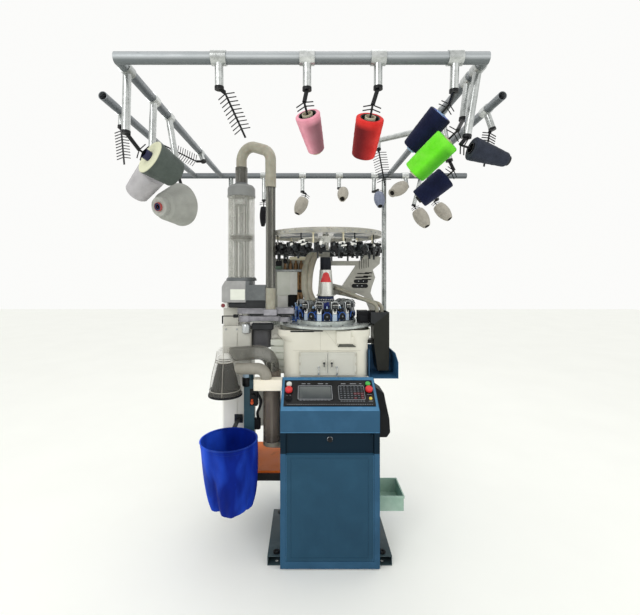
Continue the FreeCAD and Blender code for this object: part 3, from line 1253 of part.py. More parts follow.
def bag_solid(inset, floor_lift):
    """The bag from its hem down to its sagging floor, inset by a wall."""
    r = S.bag_r.value - inset
    lift = floor_lift / S.bag_depth.value
    wires = [bag_section(0, r, r, 0, 0), bag_section(0.25, r - 3, r - 3, 2, 0.03),
             bag_section(0.7, r - 13, r - 16, 6, 0.08), bag_section(0.9 - lift / 2, r - 26, r - 30, 10, 0.1),
             bag_section(1 - lift, r - 48, r - 52, 16, 0.12)]
    return Part.makeLoft(wires, True, True)


def bag():
    """Blue cloth bag on its wire ring, and the arm that holds the ring to the pillar."""
    outer = bag_solid(0, 0)
    inner = bag_solid(S.bag_wall.value, S.bag_wall.value)
    mouth = inner.copy()
    mouth.translate(V(0, 0, 1))
    node("sock_bag", shape(outer.cut([inner, mouth])))
    wire = S.bag_ring_wire.value
    z = S.bag_ring_z.value + wire
    hoop = Part.makeTorus(S.bag_r.value - 3, wire, V(S.bag_x.value, S.bag_y.value, z))
    arm_y = S.bag_y.value + S.bag_r.value - 4
    pillar_front = S.pillar_y.value - S.pillar_d.value / 2
    arm = Part.makeBox(24, pillar_front - arm_y, 8, V(S.bag_x.value - 12, arm_y, z - 4))
    plate = Part.makeBox(50, 6, 50, V(S.bag_x.value - 25, pillar_front - 6, z - 25))
    node("bag_ring", shape(hoop.fuse([arm, plate]).removeSplitter()))


def left_details():
    """Air post with its filter, and the cream box on the side of the cabinet."""
    low = S.shelf_top + S.mat_t
    post = box(S.air_post_x, S.air_post_y + 6, low, S.post_w, S.post_w - 6, S.air_post_top - low)
    x = S.air_post_x + S.post_w / 2
    y = S.air_post_y + S.post_w / 2 + 3
    head = box(x - 27, y - 24, S.air_post_top - 1, 54, 48, 41)
    bowl = rod(x, y, S.air_post_top + 40, 22, 44)
    knob = rod(x + 27, y, S.air_post_top + 22, 15, 26, "x")
    node("air_post", fuse(post, head, bowl, knob))
    cabinet_left = S.machine_x - S.cabinet_w / 2
    tray = rounded(S.cream_left, S.cream_front, S.cream_low, cabinet_left - S.cream_left, 64,
                   S.cream_h, 12)
    square = box(cabinet_left - 20, S.cream_front, S.cream_low, 20, 64, S.cream_h)
    node("cream_box", fuse(tray, square))


# ---------------------------------------------------------------- right-hand side

def chute_body(inset):
    """The chute seen from the front: a hood over the bed's edge, a shaft and a narrow foot."""
    left = S.chute_left + inset
    right = S.chute_left + S.chute_w - inset
    top = S.chute_top + (inset * 2)
    low = S.chute_low - inset
    rim = S.bed_low + S.bed_t
    hood = left - S.chute_hood
    foot = S.chute_left + S.chute_foot_x
    outline = [(foot + inset, low), (foot + S.chute_foot_w - inset, low), (right, S.chute_mid),
               (right, top), (hood, top), (hood, rim + 6 + inset), (left, rim + inset),
               (left, S.chute_mid)]
    return pad("XZ_Plane", [outline], S.chute_d - inset * 2, S.chute_y + S.chute_d - inset)


def chute_stay():
    side = S.machine_x + S.shroud_right
    return box(side, S.chute_y + 30, S.chute_mid, S.chute_left + 1 - side, 60, 24)


def right_side():
    """Waste chute into its blue tray, the black side box, and the green crate."""
    wall = S.chute_wall
    node("waste_chute", cut(fuse(chute_body(0), chute_stay()), chute_body(wall)))
    left = S.machine_x + S.shroud_right
    t = S.tray_wall
    right = left + S.tray_w
    high = S.tray_low + S.tray_h
    outline = [(left, S.tray_low), (right, S.tray_low), (right, high - 70), (right - 18, high - 14),
               (right - 60, high), (left, high)]
    body = pad("XZ_Plane", [outline], S.tray_d, S.tray_y + S.tray_d)
    room = pad("XZ_Plane", [[(left + t, S.tray_low + t), (right - t, S.tray_low + t),
                             (right - t, high - 70), (right - 18 - t, high - 14), (right - 60, high + 5),
                             (left + t, high + 5)]], S.tray_d - t + 1, S.tray_y + S.tray_d - t)
    node("side_tray", cut(body, room))
    flank = S.machine_x + S.housing_w / 2
    low = S.side_box_low
    box_outline = [(flank, low + 15), (flank, low + 300), (flank + 55, low + 296),
                   (flank + 103, low + 262), (flank + 115, low + 202), (flank + 135, low + 111),
                   (flank + 140, low + 29), (flank + 119, low), (flank + 25, low)]
    node("side_box", pad("XZ_Plane", [box_outline], 140, 120))
    wall = S.crate_wall
    outer = box(S.crate_left, S.crate_y, S.crate_low, S.crate_w, S.crate_d, S.crate_h)
    inside = box(S.crate_left + wall, S.crate_y + wall, S.crate_low + wall, S.crate_w - wall * 2,
                 S.crate_d - wall * 2, S.crate_h)
    lip = box(S.crate_left - 4, S.crate_y - 4, S.crate_low + S.crate_h - 12, S.crate_w + 8,
              S.crate_d + 8, 12)
    node("green_crate", cut(fuse(outer, lip), inside))


def check(label, thing):
    """Stops the build if an object failed or its shape isn't a set of valid closed solids."""
    if thing.Shape.isNull() or not thing.Shape.Solids or not thing.Shape.isValid():
        raise SystemExit("%s has no valid shape" % label)


def main():
    creel_tubes()
    creel_posts()
    creel_stations()
    node("base_rails", group(base_rail(-1), base_rail(1)))
    machine_housing()
    shelf()
    cabinet()
    cabinet_door()
    console_face()
    console_controls()
    shroud()
    hatch("hatch_left", -1)
    hatch("hatch_right", 1)
    bed()
    needle_cylinder()
    drive()
    feeder_units()
    dial_head()
    head_bracket()
    overhead()
    head_boxes()
    linking_unit()
    transfer_arm()
    doc.recompute()
    collector_duct = collector()
    ducts(collector_duct)
    sock_gate()
    bag()
    left_details()
    right_side()
    doc.recompute()
    for thing in doc.Objects:
        if "Invalid" in thing.State or "Error" in thing.State:
            raise SystemExit("%s (%s) failed: %s" % (thing.Name, thing.Label, thing.State))
    os.makedirs("parts", exist_ok=True)
    for label, thing in NODES.items():
        check(label, thing)
        thing.Shape.exportStep("parts/%s.step" % label)


main()
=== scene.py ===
"""Looks of the circular sock knitting machine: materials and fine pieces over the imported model."""
import math
import random

import bmesh
import bpy
from mathutils import Matrix, Vector


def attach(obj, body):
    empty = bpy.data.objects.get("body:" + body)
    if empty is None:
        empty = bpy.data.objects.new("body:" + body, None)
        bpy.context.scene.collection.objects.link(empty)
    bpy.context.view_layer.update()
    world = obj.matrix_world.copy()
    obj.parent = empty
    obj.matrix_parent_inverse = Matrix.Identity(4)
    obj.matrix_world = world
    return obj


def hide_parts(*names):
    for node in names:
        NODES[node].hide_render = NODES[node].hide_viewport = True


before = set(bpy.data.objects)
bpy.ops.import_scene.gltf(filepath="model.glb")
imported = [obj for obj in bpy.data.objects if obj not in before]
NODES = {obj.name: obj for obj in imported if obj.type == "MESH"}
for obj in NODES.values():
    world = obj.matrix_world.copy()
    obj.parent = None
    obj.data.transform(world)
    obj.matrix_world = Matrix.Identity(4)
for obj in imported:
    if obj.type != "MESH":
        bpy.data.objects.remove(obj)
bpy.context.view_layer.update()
MM = 0.001
ORIGIN, UP, FRONT = (0, 0, 0), (0, 0, 1), (0, -1, 0)
EVEN = (1, 1, 1)                  # no stretch of a texture
ACROSS = (0, math.radians(90), 0)  # a quarter turn of a texture
HERE = Matrix.Identity(4)
# Places in the model, in millimetres.
HEAD = Vector((140, 170, 0))      # axis of the knitting head
UNIT = Vector((-385, 70, 0))      # axis of the linking unit
BELL = (-442, -130, 0)            # axis of the collector bell
FILTER = (-330, -66, 0)           # axis of the air filter
BED = 1256                        # top of the cam ring
TENSION = 1675                    # top of the tension ring


# ---- camera, floor and light

EYE = (0.020, -2.280, 1.547)
CAMERA = {"sensor_width": 36, "lens": 21.375, "shift_x": 0.0203, "shift_y": -0.0539, "clip_end": 60}
SKY, SKY_POWER = (1.0, 1.0, 0.985, 1), 0.97
LAMPS = (       # name, place, size, power and the point it looks at
    ("key", (-1.9, -3.4, 3.6), 1.6, 34, (0, 0, 1.2)),
    ("fill", (2.8, -3.0, 2.4), 2.6, 8, (0, 0, 1.3)),
    ("top", (0.2, 0.4, 4.4), 2.4, 14, (0, 0, 1.0)),
    ("back", (0.6, 3.6, 3.0), 2.4, 6, (0, 0, 1.4)),
)


def placed(name, data):
    """A new object of the scene."""
    made = bpy.data.objects.new(name, data)
    bpy.context.scene.collection.objects.link(made)
    return made


def stage():
    scene = bpy.context.scene
    camera = placed("camera", bpy.data.cameras.new("camera"))
    camera.location = EYE
    camera.rotation_euler = (math.radians(90), 0, 0)
    for key, value in CAMERA.items():
        setattr(camera.data, key, value)
    scene.camera = camera
    floor = bpy.data.meshes.new("floor")
    reach = 14
    floor.from_pydata([(x * reach, y * reach, 0) for x, y in ((-1, -1), (1, -1), (1, 1), (-1, 1))],
                      [], [(0, 1, 2, 3)])
    ground = placed("floor", floor)
    ground.location.z = -0.001
    floor.materials.append(Surface("pale_floor", "#f7f8f3", 0.85).vary("#fbfcf7", 1.5, 0.5).material)
    world = bpy.data.worlds.new("studio")
    scene.world = world
    world.use_nodes = True
    sky = world.node_tree.nodes["Background"].inputs
    sky[0].default_value = SKY
    sky[1].default_value = SKY_POWER
    for name, place, size, power, aim in LAMPS:
        lamp = bpy.data.lights.new(name, "AREA")
        lamp.size = size
        lamp.energy = power
        light = placed(name, lamp)
        light.location = place
        light.rotation_euler = (Vector(aim) - Vector(place)).to_track_quat("-Z", "Y").to_euler()
    scene.view_settings.view_transform = "Standard"
    scene.view_settings.look = "None"


# ---- materials

def rgb(code):
    """Linear colour of a hex code."""
    parts = [int(code[n:n + 2], 16) / 255 for n in (1, 3, 5)]
    return tuple(c / 12.92 if c <= 0.04045 else ((c + 0.055) / 1.055) ** 2.4 for c in parts) + (1.0,)


class Surface:
    """A procedural material on object coordinates, built up by layers."""

    def __init__(self, name, colour, rough=0.5, metallic=0.0, **sockets):
        self.material = bpy.data.materials.new(name)
        self.material.use_nodes = True
        self.tree = self.material.node_tree
        self.shader = self.tree.nodes["Principled BSDF"]
        self.rough, self.colour, self.height = rough, rgb(colour), None
        self.feed(self.shader, Base_Color=self.colour, Roughness=rough, Metallic=metallic, **sockets)
        self.coords = self.node("TexCoord").outputs["Object"]

    def feed(self, node, *plain, **named):
        """Sets a node's inputs, by order or name, or links them to the outputs given."""
        for key, value in [*enumerate(plain), *named.items()]:
            socket = node.inputs[key if isinstance(key, int) else key.replace("_", " ")]
            if isinstance(value, bpy.types.NodeSocket):
                self.tree.links.new(value, socket)
            elif value is not None:
                socket.default_value = value
        return node

    def node(self, kind, *plain, **values):
        """A new node. Values in lower case are its settings, all others its inputs."""
        made = self.tree.nodes.new("ShaderNode" + kind)
        for key in [key for key in values if key[0].islower()]:
            setattr(made, key, values.pop(key))
        return self.feed(made, *plain, **values)

    def mapped(self, scale, turn=ORIGIN):
        return self.node("Mapping", Vector=self.coords, Scale=scale, Rotation=turn).outputs["Vector"]

    def noise(self, scale, detail=3.0, stretch=EVEN, rough=0.55):
        return self.node("TexNoise", Vector=self.mapped(stretch), Scale=scale, Detail=detail,
                         Roughness=rough).outputs["Fac"]

    def wave(self, turn, scale, **values):
        return self.node("TexWave", Vector=self.mapped(EVEN, turn), Scale=scale, **values).outputs["Fac"]

    def ramp(self, value, low, high, out_low=0.0, out_high=1.0):
        return self.node("MapRange", value, low, high, out_low, out_high).outputs["Result"]

    def maths(self, operation, a, b=None):
        return self.node("Math", a, b, operation=operation).outputs[0]

    def times(self, a, b):
        return self.maths("MULTIPLY", a, b)

    def axis(self, index):
        return self.node("SeparateXYZ", self.coords).outputs[index]

    def mix(self, factor, colour):
        """Lays another colour over what is there by a factor from a texture."""
        made = self.node("Mix", factor, *[None] * 5, self.colour, rgb(colour), data_type="RGBA")
        self.colour = made.outputs[2]
        self.feed(self.shader, Base_Color=self.colour)
        return self

    def vary(self, colour, scale, amount=0.6, stretch=EVEN, low=0.35, high=0.65):
        return self.mix(self.ramp(self.noise(scale, 4, stretch), low, high, 0, amount), colour)

    def wear(self, colour, scale, low, high, amount, stretch=EVEN):
        """Small scuffs and stains."""
        return self.mix(self.ramp(self.noise(scale, 7, stretch, 0.7), low, high, 0, amount), colour)

    def shine(self, scale, spread, stretch=EVEN):
        low, high = max(self.rough - spread, 0.02), min(self.rough + spread, 1)
        self.feed(self.shader, Roughness=self.ramp(self.noise(scale, 4, stretch), 0.3, 0.7, low, high))
        return self

    def bump(self, value, depth, strength):
        self.height = self.node("Bump", Height=value, Distance=depth, Strength=strength,
                                Normal=self.height).outputs["Normal"]
        self.feed(self.shader, Normal=self.height)
        return self

    def grain(self, scale, depth, strength=0.5, stretch=EVEN):
        return self.bump(self.noise(scale, 3, stretch), depth, strength)


def painted(name, colour, dark, light, rough=0.42, **sockets):
    """Powder-coated sheet: soft orange peel, a cloudy tone and a few scuffs."""
    s = Surface(name, colour, rough, **{"Specular_IOR_Level": 0.3, **sockets})
    s.vary(dark, 3.2, 0.45).vary(light, 9, 0.3, low=0.5, high=0.75).wear(light, 26, 0.68, 0.74, 0.4)
    return s.shine(12, 0.08).grain(620, 0.00025, 0.35)


def plastic(name, colour, light, rough=0.42, grain=900, depth=0.00012, **sockets):
    s = Surface(name, colour, rough, **{"Specular_IOR_Level": 0.3, **sockets})
    s.vary(light, 20, 0.45).wear(light, 60, 0.66, 0.74, 0.5)
    return s.shine(40, 0.1).grain(grain, depth, 0.4)


def metal(name, colour, dark, rough=0.3, stretch=EVEN, scale=40, metallic=0.9):
    s = Surface(name, colour, rough, metallic)
    s.vary(dark, scale, 0.6, stretch).wear(dark, scale * 2, 0.62, 0.75, 0.5)
    return s.shine(scale, 0.12, stretch).grain(scale * 12, 0.00008, 0.4, stretch)


def galvanised(name, colour, dark, light, rough, metallic):
    """Dull zinc with its spangle, grey stains and drawing lines."""
    s = Surface(name, colour, rough, metallic)
    cell = s.node("TexVoronoi", Vector=s.mapped(EVEN), Scale=95.0, Randomness=1.0).outputs["Color"]
    s.mix(s.ramp(s.node("SeparateColor", cell).outputs[0], 0, 1, 0, 0.45), light)
    s.vary(dark, 7, 0.55).wear(dark, 40, 0.6, 0.74, 0.6)
    return s.shine(22, 0.1).grain(260, 0.00012, 0.35)


def creel_tube(name):
    """Zinc tube with light and shade painted on: painted shade on its underside, in a middle band
    and on its crown, narrow painted highlights between them, and darker tubes further back.
    """
    s = Surface(name, "#c2c6c9", 0.42, 0.2, Specular_IOR_Level=0.3)
    s.vary("#969c9f", 9, 0.6, (0.3, 1, 1)).wear("#5f6667", 34, 0.6, 0.72, 0.6)
    y, z = s.axis(1), s.axis(2)
    # Painted shade by height: a dark underside, a darker middle band and a darker crown; the narrow light
    # strips left between them are painted highlights.
    s.mix(s.ramp(z, 2.3440, 2.3350, 0, 0.8), "#52595b")
    s.mix(s.times(s.times(s.ramp(z, 2.3470, 2.3500), s.ramp(z, 2.3590, 2.3550)), 0.5), "#8d9294")
    s.mix(s.ramp(z, 2.3560, 2.3640, 0, 0.55), "#777c7e")
    # Painted shade: the tubes behind the front one are darker, and the rearmost is darker still.
    s.mix(s.ramp(y, -0.79, -0.74, 0, 0.55), "#474d54")
    s.mix(s.ramp(y, 0.70, 0.78, 0, 0.25), "#3f4446")
    return s.shine(22, 0.1).grain(240, 0.00012, 0.35)


def cast(name, colour, dark, light, rough=0.55, metallic=0.35):
    s = Surface(name, colour, rough, metallic)
    s.vary(dark, 11, 0.5).vary(light, 40, 0.35, low=0.5, high=0.8)
    return s.shine(25, 0.08).grain(240, 0.0005, 0.55)


def see_through(name, colour, tint, rough, alpha):
    """Clear moulded plastic: mostly open, with a clouded tint and a wet gloss."""
    s = Surface(name, colour, rough, Transmission_Weight=0.35, IOR=1.3, Alpha=alpha, Coat_Weight=0.4)
    s.vary(tint, 7, 0.7).vary(tint, 34, 0.4, (1, 1, 0.2)).wear("#e9e9e2", 18, 0.62, 0.75, 0.6, (1, 1, 0.15))
    return s.shine(18, 0.05).grain(16, 0.0012, 0.25, (1, 1, 0.5))


def streaked_tube(name):
    """Cloudy riser tube: lengthwise light and dark streaks at set places across its width, painted highlights
    and painted shade.
    """
    s = see_through(name, "#706f67", "#52514a", 0.1, 0.68)
    x = s.axis(0)
    # Painted highlights (the light strips) and painted shade (the dark strips) at fixed x across the tube.
    for low, high, colour in ((-0.2190, -0.2110, "#d3d2c7"), (-0.2050, -0.1930, "#474741"),
                              (-0.1870, -0.1800, "#c4c3b7"), (-0.1760, -0.1660, "#3f403b")):
        middle = (low + high) / 2
        rise = s.times(s.ramp(x, low, middle), s.ramp(x, high, middle))
        s.mix(s.times(rise, s.ramp(s.noise(9, 4, (1, 1, 0.3)), 0.3, 0.6, 0.35, 0.9)), colour)
    return s


def yarn(name, colour, dark, light, painted_shade_side=None):
    """Cross-wound thread: two fine helices over the package, in its own coordinates. A side of painted
    shade, where the package has one, is a colour, its direction and how narrow it is."""
    s = Surface(name, colour, 0.85, Sheen_Weight=0.06, Sheen_Roughness=0.5, Specular_IOR_Level=0.12)
    around = s.maths("ARCTAN2", s.axis(1), s.axis(0))
    turns = s.times(s.times(s.axis(2), 520.0), 6.2832)
    both = s.maths("MAXIMUM", *[s.maths("SINE", s.maths("ADD", turns, s.times(around, lean)))
                                for lean in (3.0, -4.0)])
    s.mix(s.ramp(both, -0.4, 1, 0.7, 0), dark)
    s.vary(light, 26, 0.4).vary(dark, 9, 0.35)
    if painted_shade_side:
        shade_colour, direction, narrow = painted_shade_side
        # Painted shade: a darker streak down one side of the package, away from its base.
        facing = s.maths("COSINE", s.maths("SUBTRACT", around, direction))
        s.mix(s.times(s.ramp(facing, narrow, 1.0, 0, 0.85), s.ramp(s.axis(2), 0.012, 0.034)), shade_colour)
    return s.bump(s.ramp(both, -1, 1), 0.0004, 0.9).grain(900, 0.0003, 0.5)


def cream_package(name):
    """Cream yarn: its wound end in its own bright cream with rings, and its side painted a dark olive as
    painted shade.
    """
    # The base colour, a dark olive, is painted shade on the package's side.
    s = yarn(name, "#535b56", "#454c49", "#66706a")
    radius = s.maths("SQRT", s.maths("ADD", *[s.maths("POWER", s.axis(n), 2.0) for n in (0, 1)]))
    face = s.ramp(s.axis(2), 0.006, 0.003)
    s.mix(face, "#d9dabd")
    return s.mix(s.times(s.ramp(s.maths("SINE", s.times(radius, 2100.0)), 0.2, 1.0, 0, 0.5), face), "#bfc2a4")


def cloth(name, colour, dark, light):
    """Thin plain-weave nylon: crossing threads, faint sheen, a few rubbed patches, and folds with painted
    shade in their hollows and painted highlights on their ridges; the left side is painted lighter as painted
    light.
    """
    s = Surface(name, colour, 0.62, Sheen_Weight=0.02, Sheen_Roughness=0.4, Specular_IOR_Level=0.06)
    weave = s.times(*[s.wave(turn, 420.0, Distortion=0.6, Detail=1.0) for turn in (ORIGIN, ACROSS)])
    s.mix(s.ramp(weave, 0, 1, 0.3, 0), dark)
    s.vary(dark, 8, 0.5, (1, 1, 0.4)).wear(light, 20, 0.6, 0.75, 0.35, (1, 1, 0.3))
    # Painted light: the bag's left side is a brighter blue.
    s.mix(s.ramp(s.axis(0), -0.45, -0.51, 0, 0.85), "#2f62ee")
    folds = s.noise(10, 2, (1, 1, 0.45), 0.4)
    # Painted highlights on the fold ridges, and painted shade in the fold hollows.
    s.mix(s.ramp(folds, 0.52, 0.7, 0, 0.5), light)
    s.mix(s.ramp(folds, 0.45, 0.3, 0, 0.5), dark)
    return s.bump(weave, 0.0003, 0.5).bump(folds, 0.03, 0.7).grain(40, 0.0016, 0.4, (1, 1, 0.4))


def banded(name, colour, dark, light):
    """The cabinet's blue, with the set-back band across its front darkened as painted shade under the head's
    overhang.
    """
    s = painted(name, colour, dark, light, Specular_IOR_Level=0.12)
    z = s.axis(2)
    # Painted shade: the set-back band under the head is darkened.
    band = s.times(s.ramp(z, 0.6030, 0.6045), s.ramp(z, 0.7130, 0.7115))
    s.mix(s.times(band, s.ramp(s.axis(1), -0.2690, -0.2700)), "#051f2e")
    stains = s.ramp(s.noise(5, 6, (1, 1, 0.5), 0.7), 0.45, 0.7, 0, 0.35)
    return s.mix(s.times(stains, s.ramp(z, 0.60, 0.2)), "#163245")


def pillar_paint(name):
    """Cream sheet of the linking unit's column, lightened towards its foot as painted light."""
    s = painted(name, "#cdccc3", "#b2b1a8", "#e2e1d8")
    # Painted light: the lower column is lightened.
    return s.mix(s.ramp(s.axis(2), 1.06, 0.92, 0, 0.75), "#f7f6ee")


def decked(name):
    """Black folded sheet with an oily orange deck on top."""
    s = painted(name, "#16181a", "#0e1011", "#2a2d2f", 0.45, Specular_IOR_Level=0.15)
    top = s.ramp(s.axis(2), 0.3985, 0.3998)
    s.mix(top, "#ec7a2c")
    return s.mix(s.times(top, s.ramp(s.noise(24, 6, EVEN, 0.7), 0.58, 0.72, 0, 0.6)), "#8f4318")


def mesh_weave(name):
    """Fine wire gauze."""
    s = Surface(name, "#0b0c0d", 0.6, Specular_IOR_Level=0.15)
    both = s.maths("MAXIMUM", *[s.wave(turn, 150.0) for turn in (ACROSS, ORIGIN)])
    s.mix(s.ramp(both, 0.2, 0.9), "#202425")
    return s.vary("#050606", 9, 0.6).bump(both, 0.0006, 0.8)


def screen_glass(name):
    """Switched-off display: dark grey glass with a soft lighter reflection band."""
    s = Surface(name, "#3c4043", 0.12, Coat_Weight=0.6)
    s.mix(s.ramp(s.axis(2), 0.868, 0.93, 0, 0.75), "#7f8684").vary("#54595a", 14, 0.4)
    return s.shine(20, 0.05).grain(500, 0.00005, 0.2)


def hose_plastic(name):
    s = Surface(name, "#a39d8c", 0.45, Transmission_Weight=0.12, Subsurface_Weight=0.1)
    s.vary("#8a8474", 8, 0.5).vary("#bdb8a8", 30, 0.4)
    return s.shine(16, 0.08).grain(60, 0.001, 0.35)


def spec(level):
    return {"Specular_IOR_Level": level}


def coat(weight):
    return {"Coat_Weight": weight}


# Each maker's materials, with its arguments after the name; a dict at the end is for its sockets.
MAKERS = {
    creel_tube: {"tube": ()},
    galvanised: {
        "post": ("#979b99", "#4d5351", "#d5d9d6", 0.26, 0.85),
        "drop": ("#bfc2c0", "#767b79", "#eef0ef", 0.26, 0.8)},
    banded: {
        "blue": ("#2f5673", "#284b66", "#3d6889"),
        "door": ("#264a61", "#204055", "#2f5871")},
    painted: {
        # A lighter copy of the cabinet blue: painted light on the upward-facing slope.
        "lip": ("#437ba3", "#376a8f", "#5f97bf", 0.3),
        "cream": ("#dcdacd", "#c9c6b8", "#eae8de"),
        "hatch": ("#c9c9c0", "#b8b8ae", "#dadad2"),
        "cream_box": ("#f8f2e2", "#e8dfc8", "#fffbf0", 0.45),
        "swing_motor": ("#4d4d50", "#3a3a3d", "#646468"),
        "cap_grey": ("#8a8c8a", "#717371", "#a5a7a5"),
        "rail": ("#43555a", "#233034", "#7d8f94", 0.38),
        "housing": ("#2c5474", "#234560", "#3d6a8f", 0.45),
        "teal": ("#33505c", "#253e48", "#496975"),
        "chute": ("#23241f", "#171814", "#34362e", 0.4, spec(0.2)),
        "tray": ("#3a6a91", "#2c5170", "#5685ab", 0.38)},
    plastic: {
        "black": ("#0e0f11", "#1d1f22", 0.4, spec(0.25)),
        "black_soft": ("#121315", "#232529", 0.6, 500, 0.0003, spec(0.2)),
        "cream_soft": ("#e0d8ba", "#efe9d2", 0.5),
        "white": ("#dee1d6", "#eef0e7"),
        "white_key": ("#d5d6d0", "#efefec", 0.35),
        "red": ("#c81c28", "#e8483f", 0.32, coat(0.3)),
        "green": ("#2fa33c", "#6fdc6a", 0.32, coat(0.3)),
        "yellow": ("#d9c03c", "#f6e789", 0.35),
        "fascia": ("#101113", "#222426", 0.36),
        "line": ("#8f9398", "#bcc0c4", 0.4),
        "key": ("#24272b", "#3a3e44", 0.5),
        "key_pale": ("#63676c", "#90949a", 0.5),
        "key_red": ("#6b2d33", "#93444a", 0.5),
        "motor": ("#0f141c", "#202732", 0.38),
        "collar": ("#1a2542", "#2f3f68", 0.36),
        "unit_black": ("#1d1f21", "#33363a"),
        "crate": ("#93b1a1", "#b4ccbd", 0.5, 300, 0.0003),
        "feeder": ("#2a52a8", "#5f8fd6", 0.34),
        "feeder_deep": ("#131f36", "#253c63", 0.4),
        "feeder_pale": ("#86a3c4", "#b9cde2", 0.38),
        "duct_dark": ("#87847a", "#a5a196", 0.4, 120, 0.0006),
        "clear_rib": ("#8a877e", "#aeaba2", 0.25, 300, 0.0002, coat(0.4)),
        "orange": ("#d0522a", "#ea7d52"),
        "pale_blue": ("#a9c6de", "#d8e6f2", 0.34, coat(0.2)),
        "board_green": ("#4d6352", "#74897a", 0.5),
        "paper": ("#c1b79f", "#dad1bd", 0.75, 200, 0.0003),
        # Near-black inside of the bobbins' nose holes: painted shade.
        "hollow": ("#2a2824", "#46423b", 0.8, 200, 0.0003),
        "seam": ("#b3b1a4", "#c6c4b7", 0.5),
        "shade": ("#55564f", "#6d6e66", 0.5),
        "ceramic": ("#e6e6e0", "#f4f4f0", 0.3, coat(0.3)),
        "pale_plate": ("#aebfd2", "#cbd7e3", 0.4),
        "indigo": ("#27327c", "#4454ad", 0.4),
        # Near-black bore of the wide tubes as painted shade, over the tube's own dark green-grey rim.
        "well": ("#1a1f1d", "#38423c", 0.55, 300, 0.0004, spec(0.2)),
        "tube_blue": ("#8fb4da", "#bcd3ea", 0.4),
        "tube_navy": ("#1b1d3a", "#33365c", 0.45),
        "tube_light": ("#4a5fb8", "#8093e0", 0.45),
        "tube_red": ("#a84040", "#cc6c64", 0.45)},
    metal: {
        "steel": ("#a9adad", "#6d7274", 0.3, (1, 1, 0.2)),
        "bright": ("#c7caca", "#8c9192", 0.2, (1, 1, 0.3)),
        "dark_steel": ("#3a3e40", "#202325", 0.42, EVEN, 40, 0.6),
        "iron": ("#5d6163", "#3b3f41", 0.4, EVEN, 30, 0.6),
        "bed": ("#cfd5d1", "#9ba19e", 0.34, EVEN, 24, 0.6),
        "alloy": ("#9c9f9f", "#6e7273", 0.38, EVEN, 30, 0.7),
        "lilac": ("#a3a2a8", "#7b7a81", 0.4, EVEN, 30, 0.45),
        "cover": ("#dcddd6", "#aeb0aa", 0.3, (1, 1, 0.15), 34, 0.65),
        "finger": ("#b9bcbb", "#83888a", 0.32, EVEN, 50, 0.6),
        "copper": ("#8e6f4d", "#5f4a34", 0.36, EVEN, 60, 0.6)},
    cast: {
        "casting": ("#adaca3", "#84837c", "#cbc9c0"),
        "unit": ("#6b6f70", "#4f5354", "#888c8d", 0.42, 0.4),
        "unit_light": ("#a3a3a2", "#858685", "#c2c2c0", 0.42, 0.3)},
    see_through: {
        "clear": ("#d9d9d0", "#b9b8ab", 0.06, 0.34),
        "bell": ("#b4b1a8", "#8f8c84", 0.05, 0.13),
        "brown_tube": ("#978b80", "#6f655c", 0.12, 0.78),
        "disc": ("#dddbd0", "#a9a79c", 0.3, 0.66),
        "elbow": ("#8f8e86", "#5d5c55", 0.06, 0.5)},
    hose_plastic: {"hose": (), "beige": ()},
    cloth: {
        "bag": ("#0a2a98", "#04145c", "#2450cc"),
        "bag_hem": ("#1c3a98", "#10246a", "#3a5fcc")},
    yarn: {
        # A fourth value, where given, is a side of painted shade: its colour, direction and narrowness.
        "pink_yarn": ("#eb9dae", "#d88a9c", "#f9bcc8", ("#6a4a50", -2.5, 0.25)),
        "red_yarn": ("#e0302c", "#c0221f", "#f4504a", ("#3b1219", -0.75, 0.1)),
        "green_yarn": ("#6fe82a", "#55cc1c", "#9bf95c", ("#3f9a1a", -1.3, 0.7)),
        "navy_yarn": ("#141a38", "#0d1126", "#20294f"),
        "charcoal_yarn": ("#303541", "#222630", "#434959"),
        "white_yarn": ("#b7b5b7", "#a19fa2", "#cecccf"),
        "pale_yarn": ("#a4a6a0", "#90918b", "#b9bab4"),
        "black_yarn": ("#18181b", "#0a0a0c", "#34343a"),
        "bobbin_yarn": ("#aca79b", "#97928a", "#c4c0b5"),
        "blue_yarn": ("#7d8496", "#666c80", "#9ba2b4")},
    streaked_tube: {"clear_tube": ()}, pillar_paint: {"pillar": ()}, decked: {"deck": ()},
    mesh_weave: {"gauze": ()}, screen_glass: {"screen": ()}, cream_package: {"cream_yarn": ()},
}
MATERIALS = {}


def material(name):
    """The named material, made the first time it is asked for."""
    if name not in MATERIALS:
        maker, values = next((maker, made[name]) for maker, made in MAKERS.items() if name in made)
        sockets = values[-1] if values and isinstance(values[-1], dict) else {}
        MATERIALS[name] = maker(name, *values[:len(values) - bool(sockets)], **sockets).material
    return MATERIALS[name]


# ---- forms

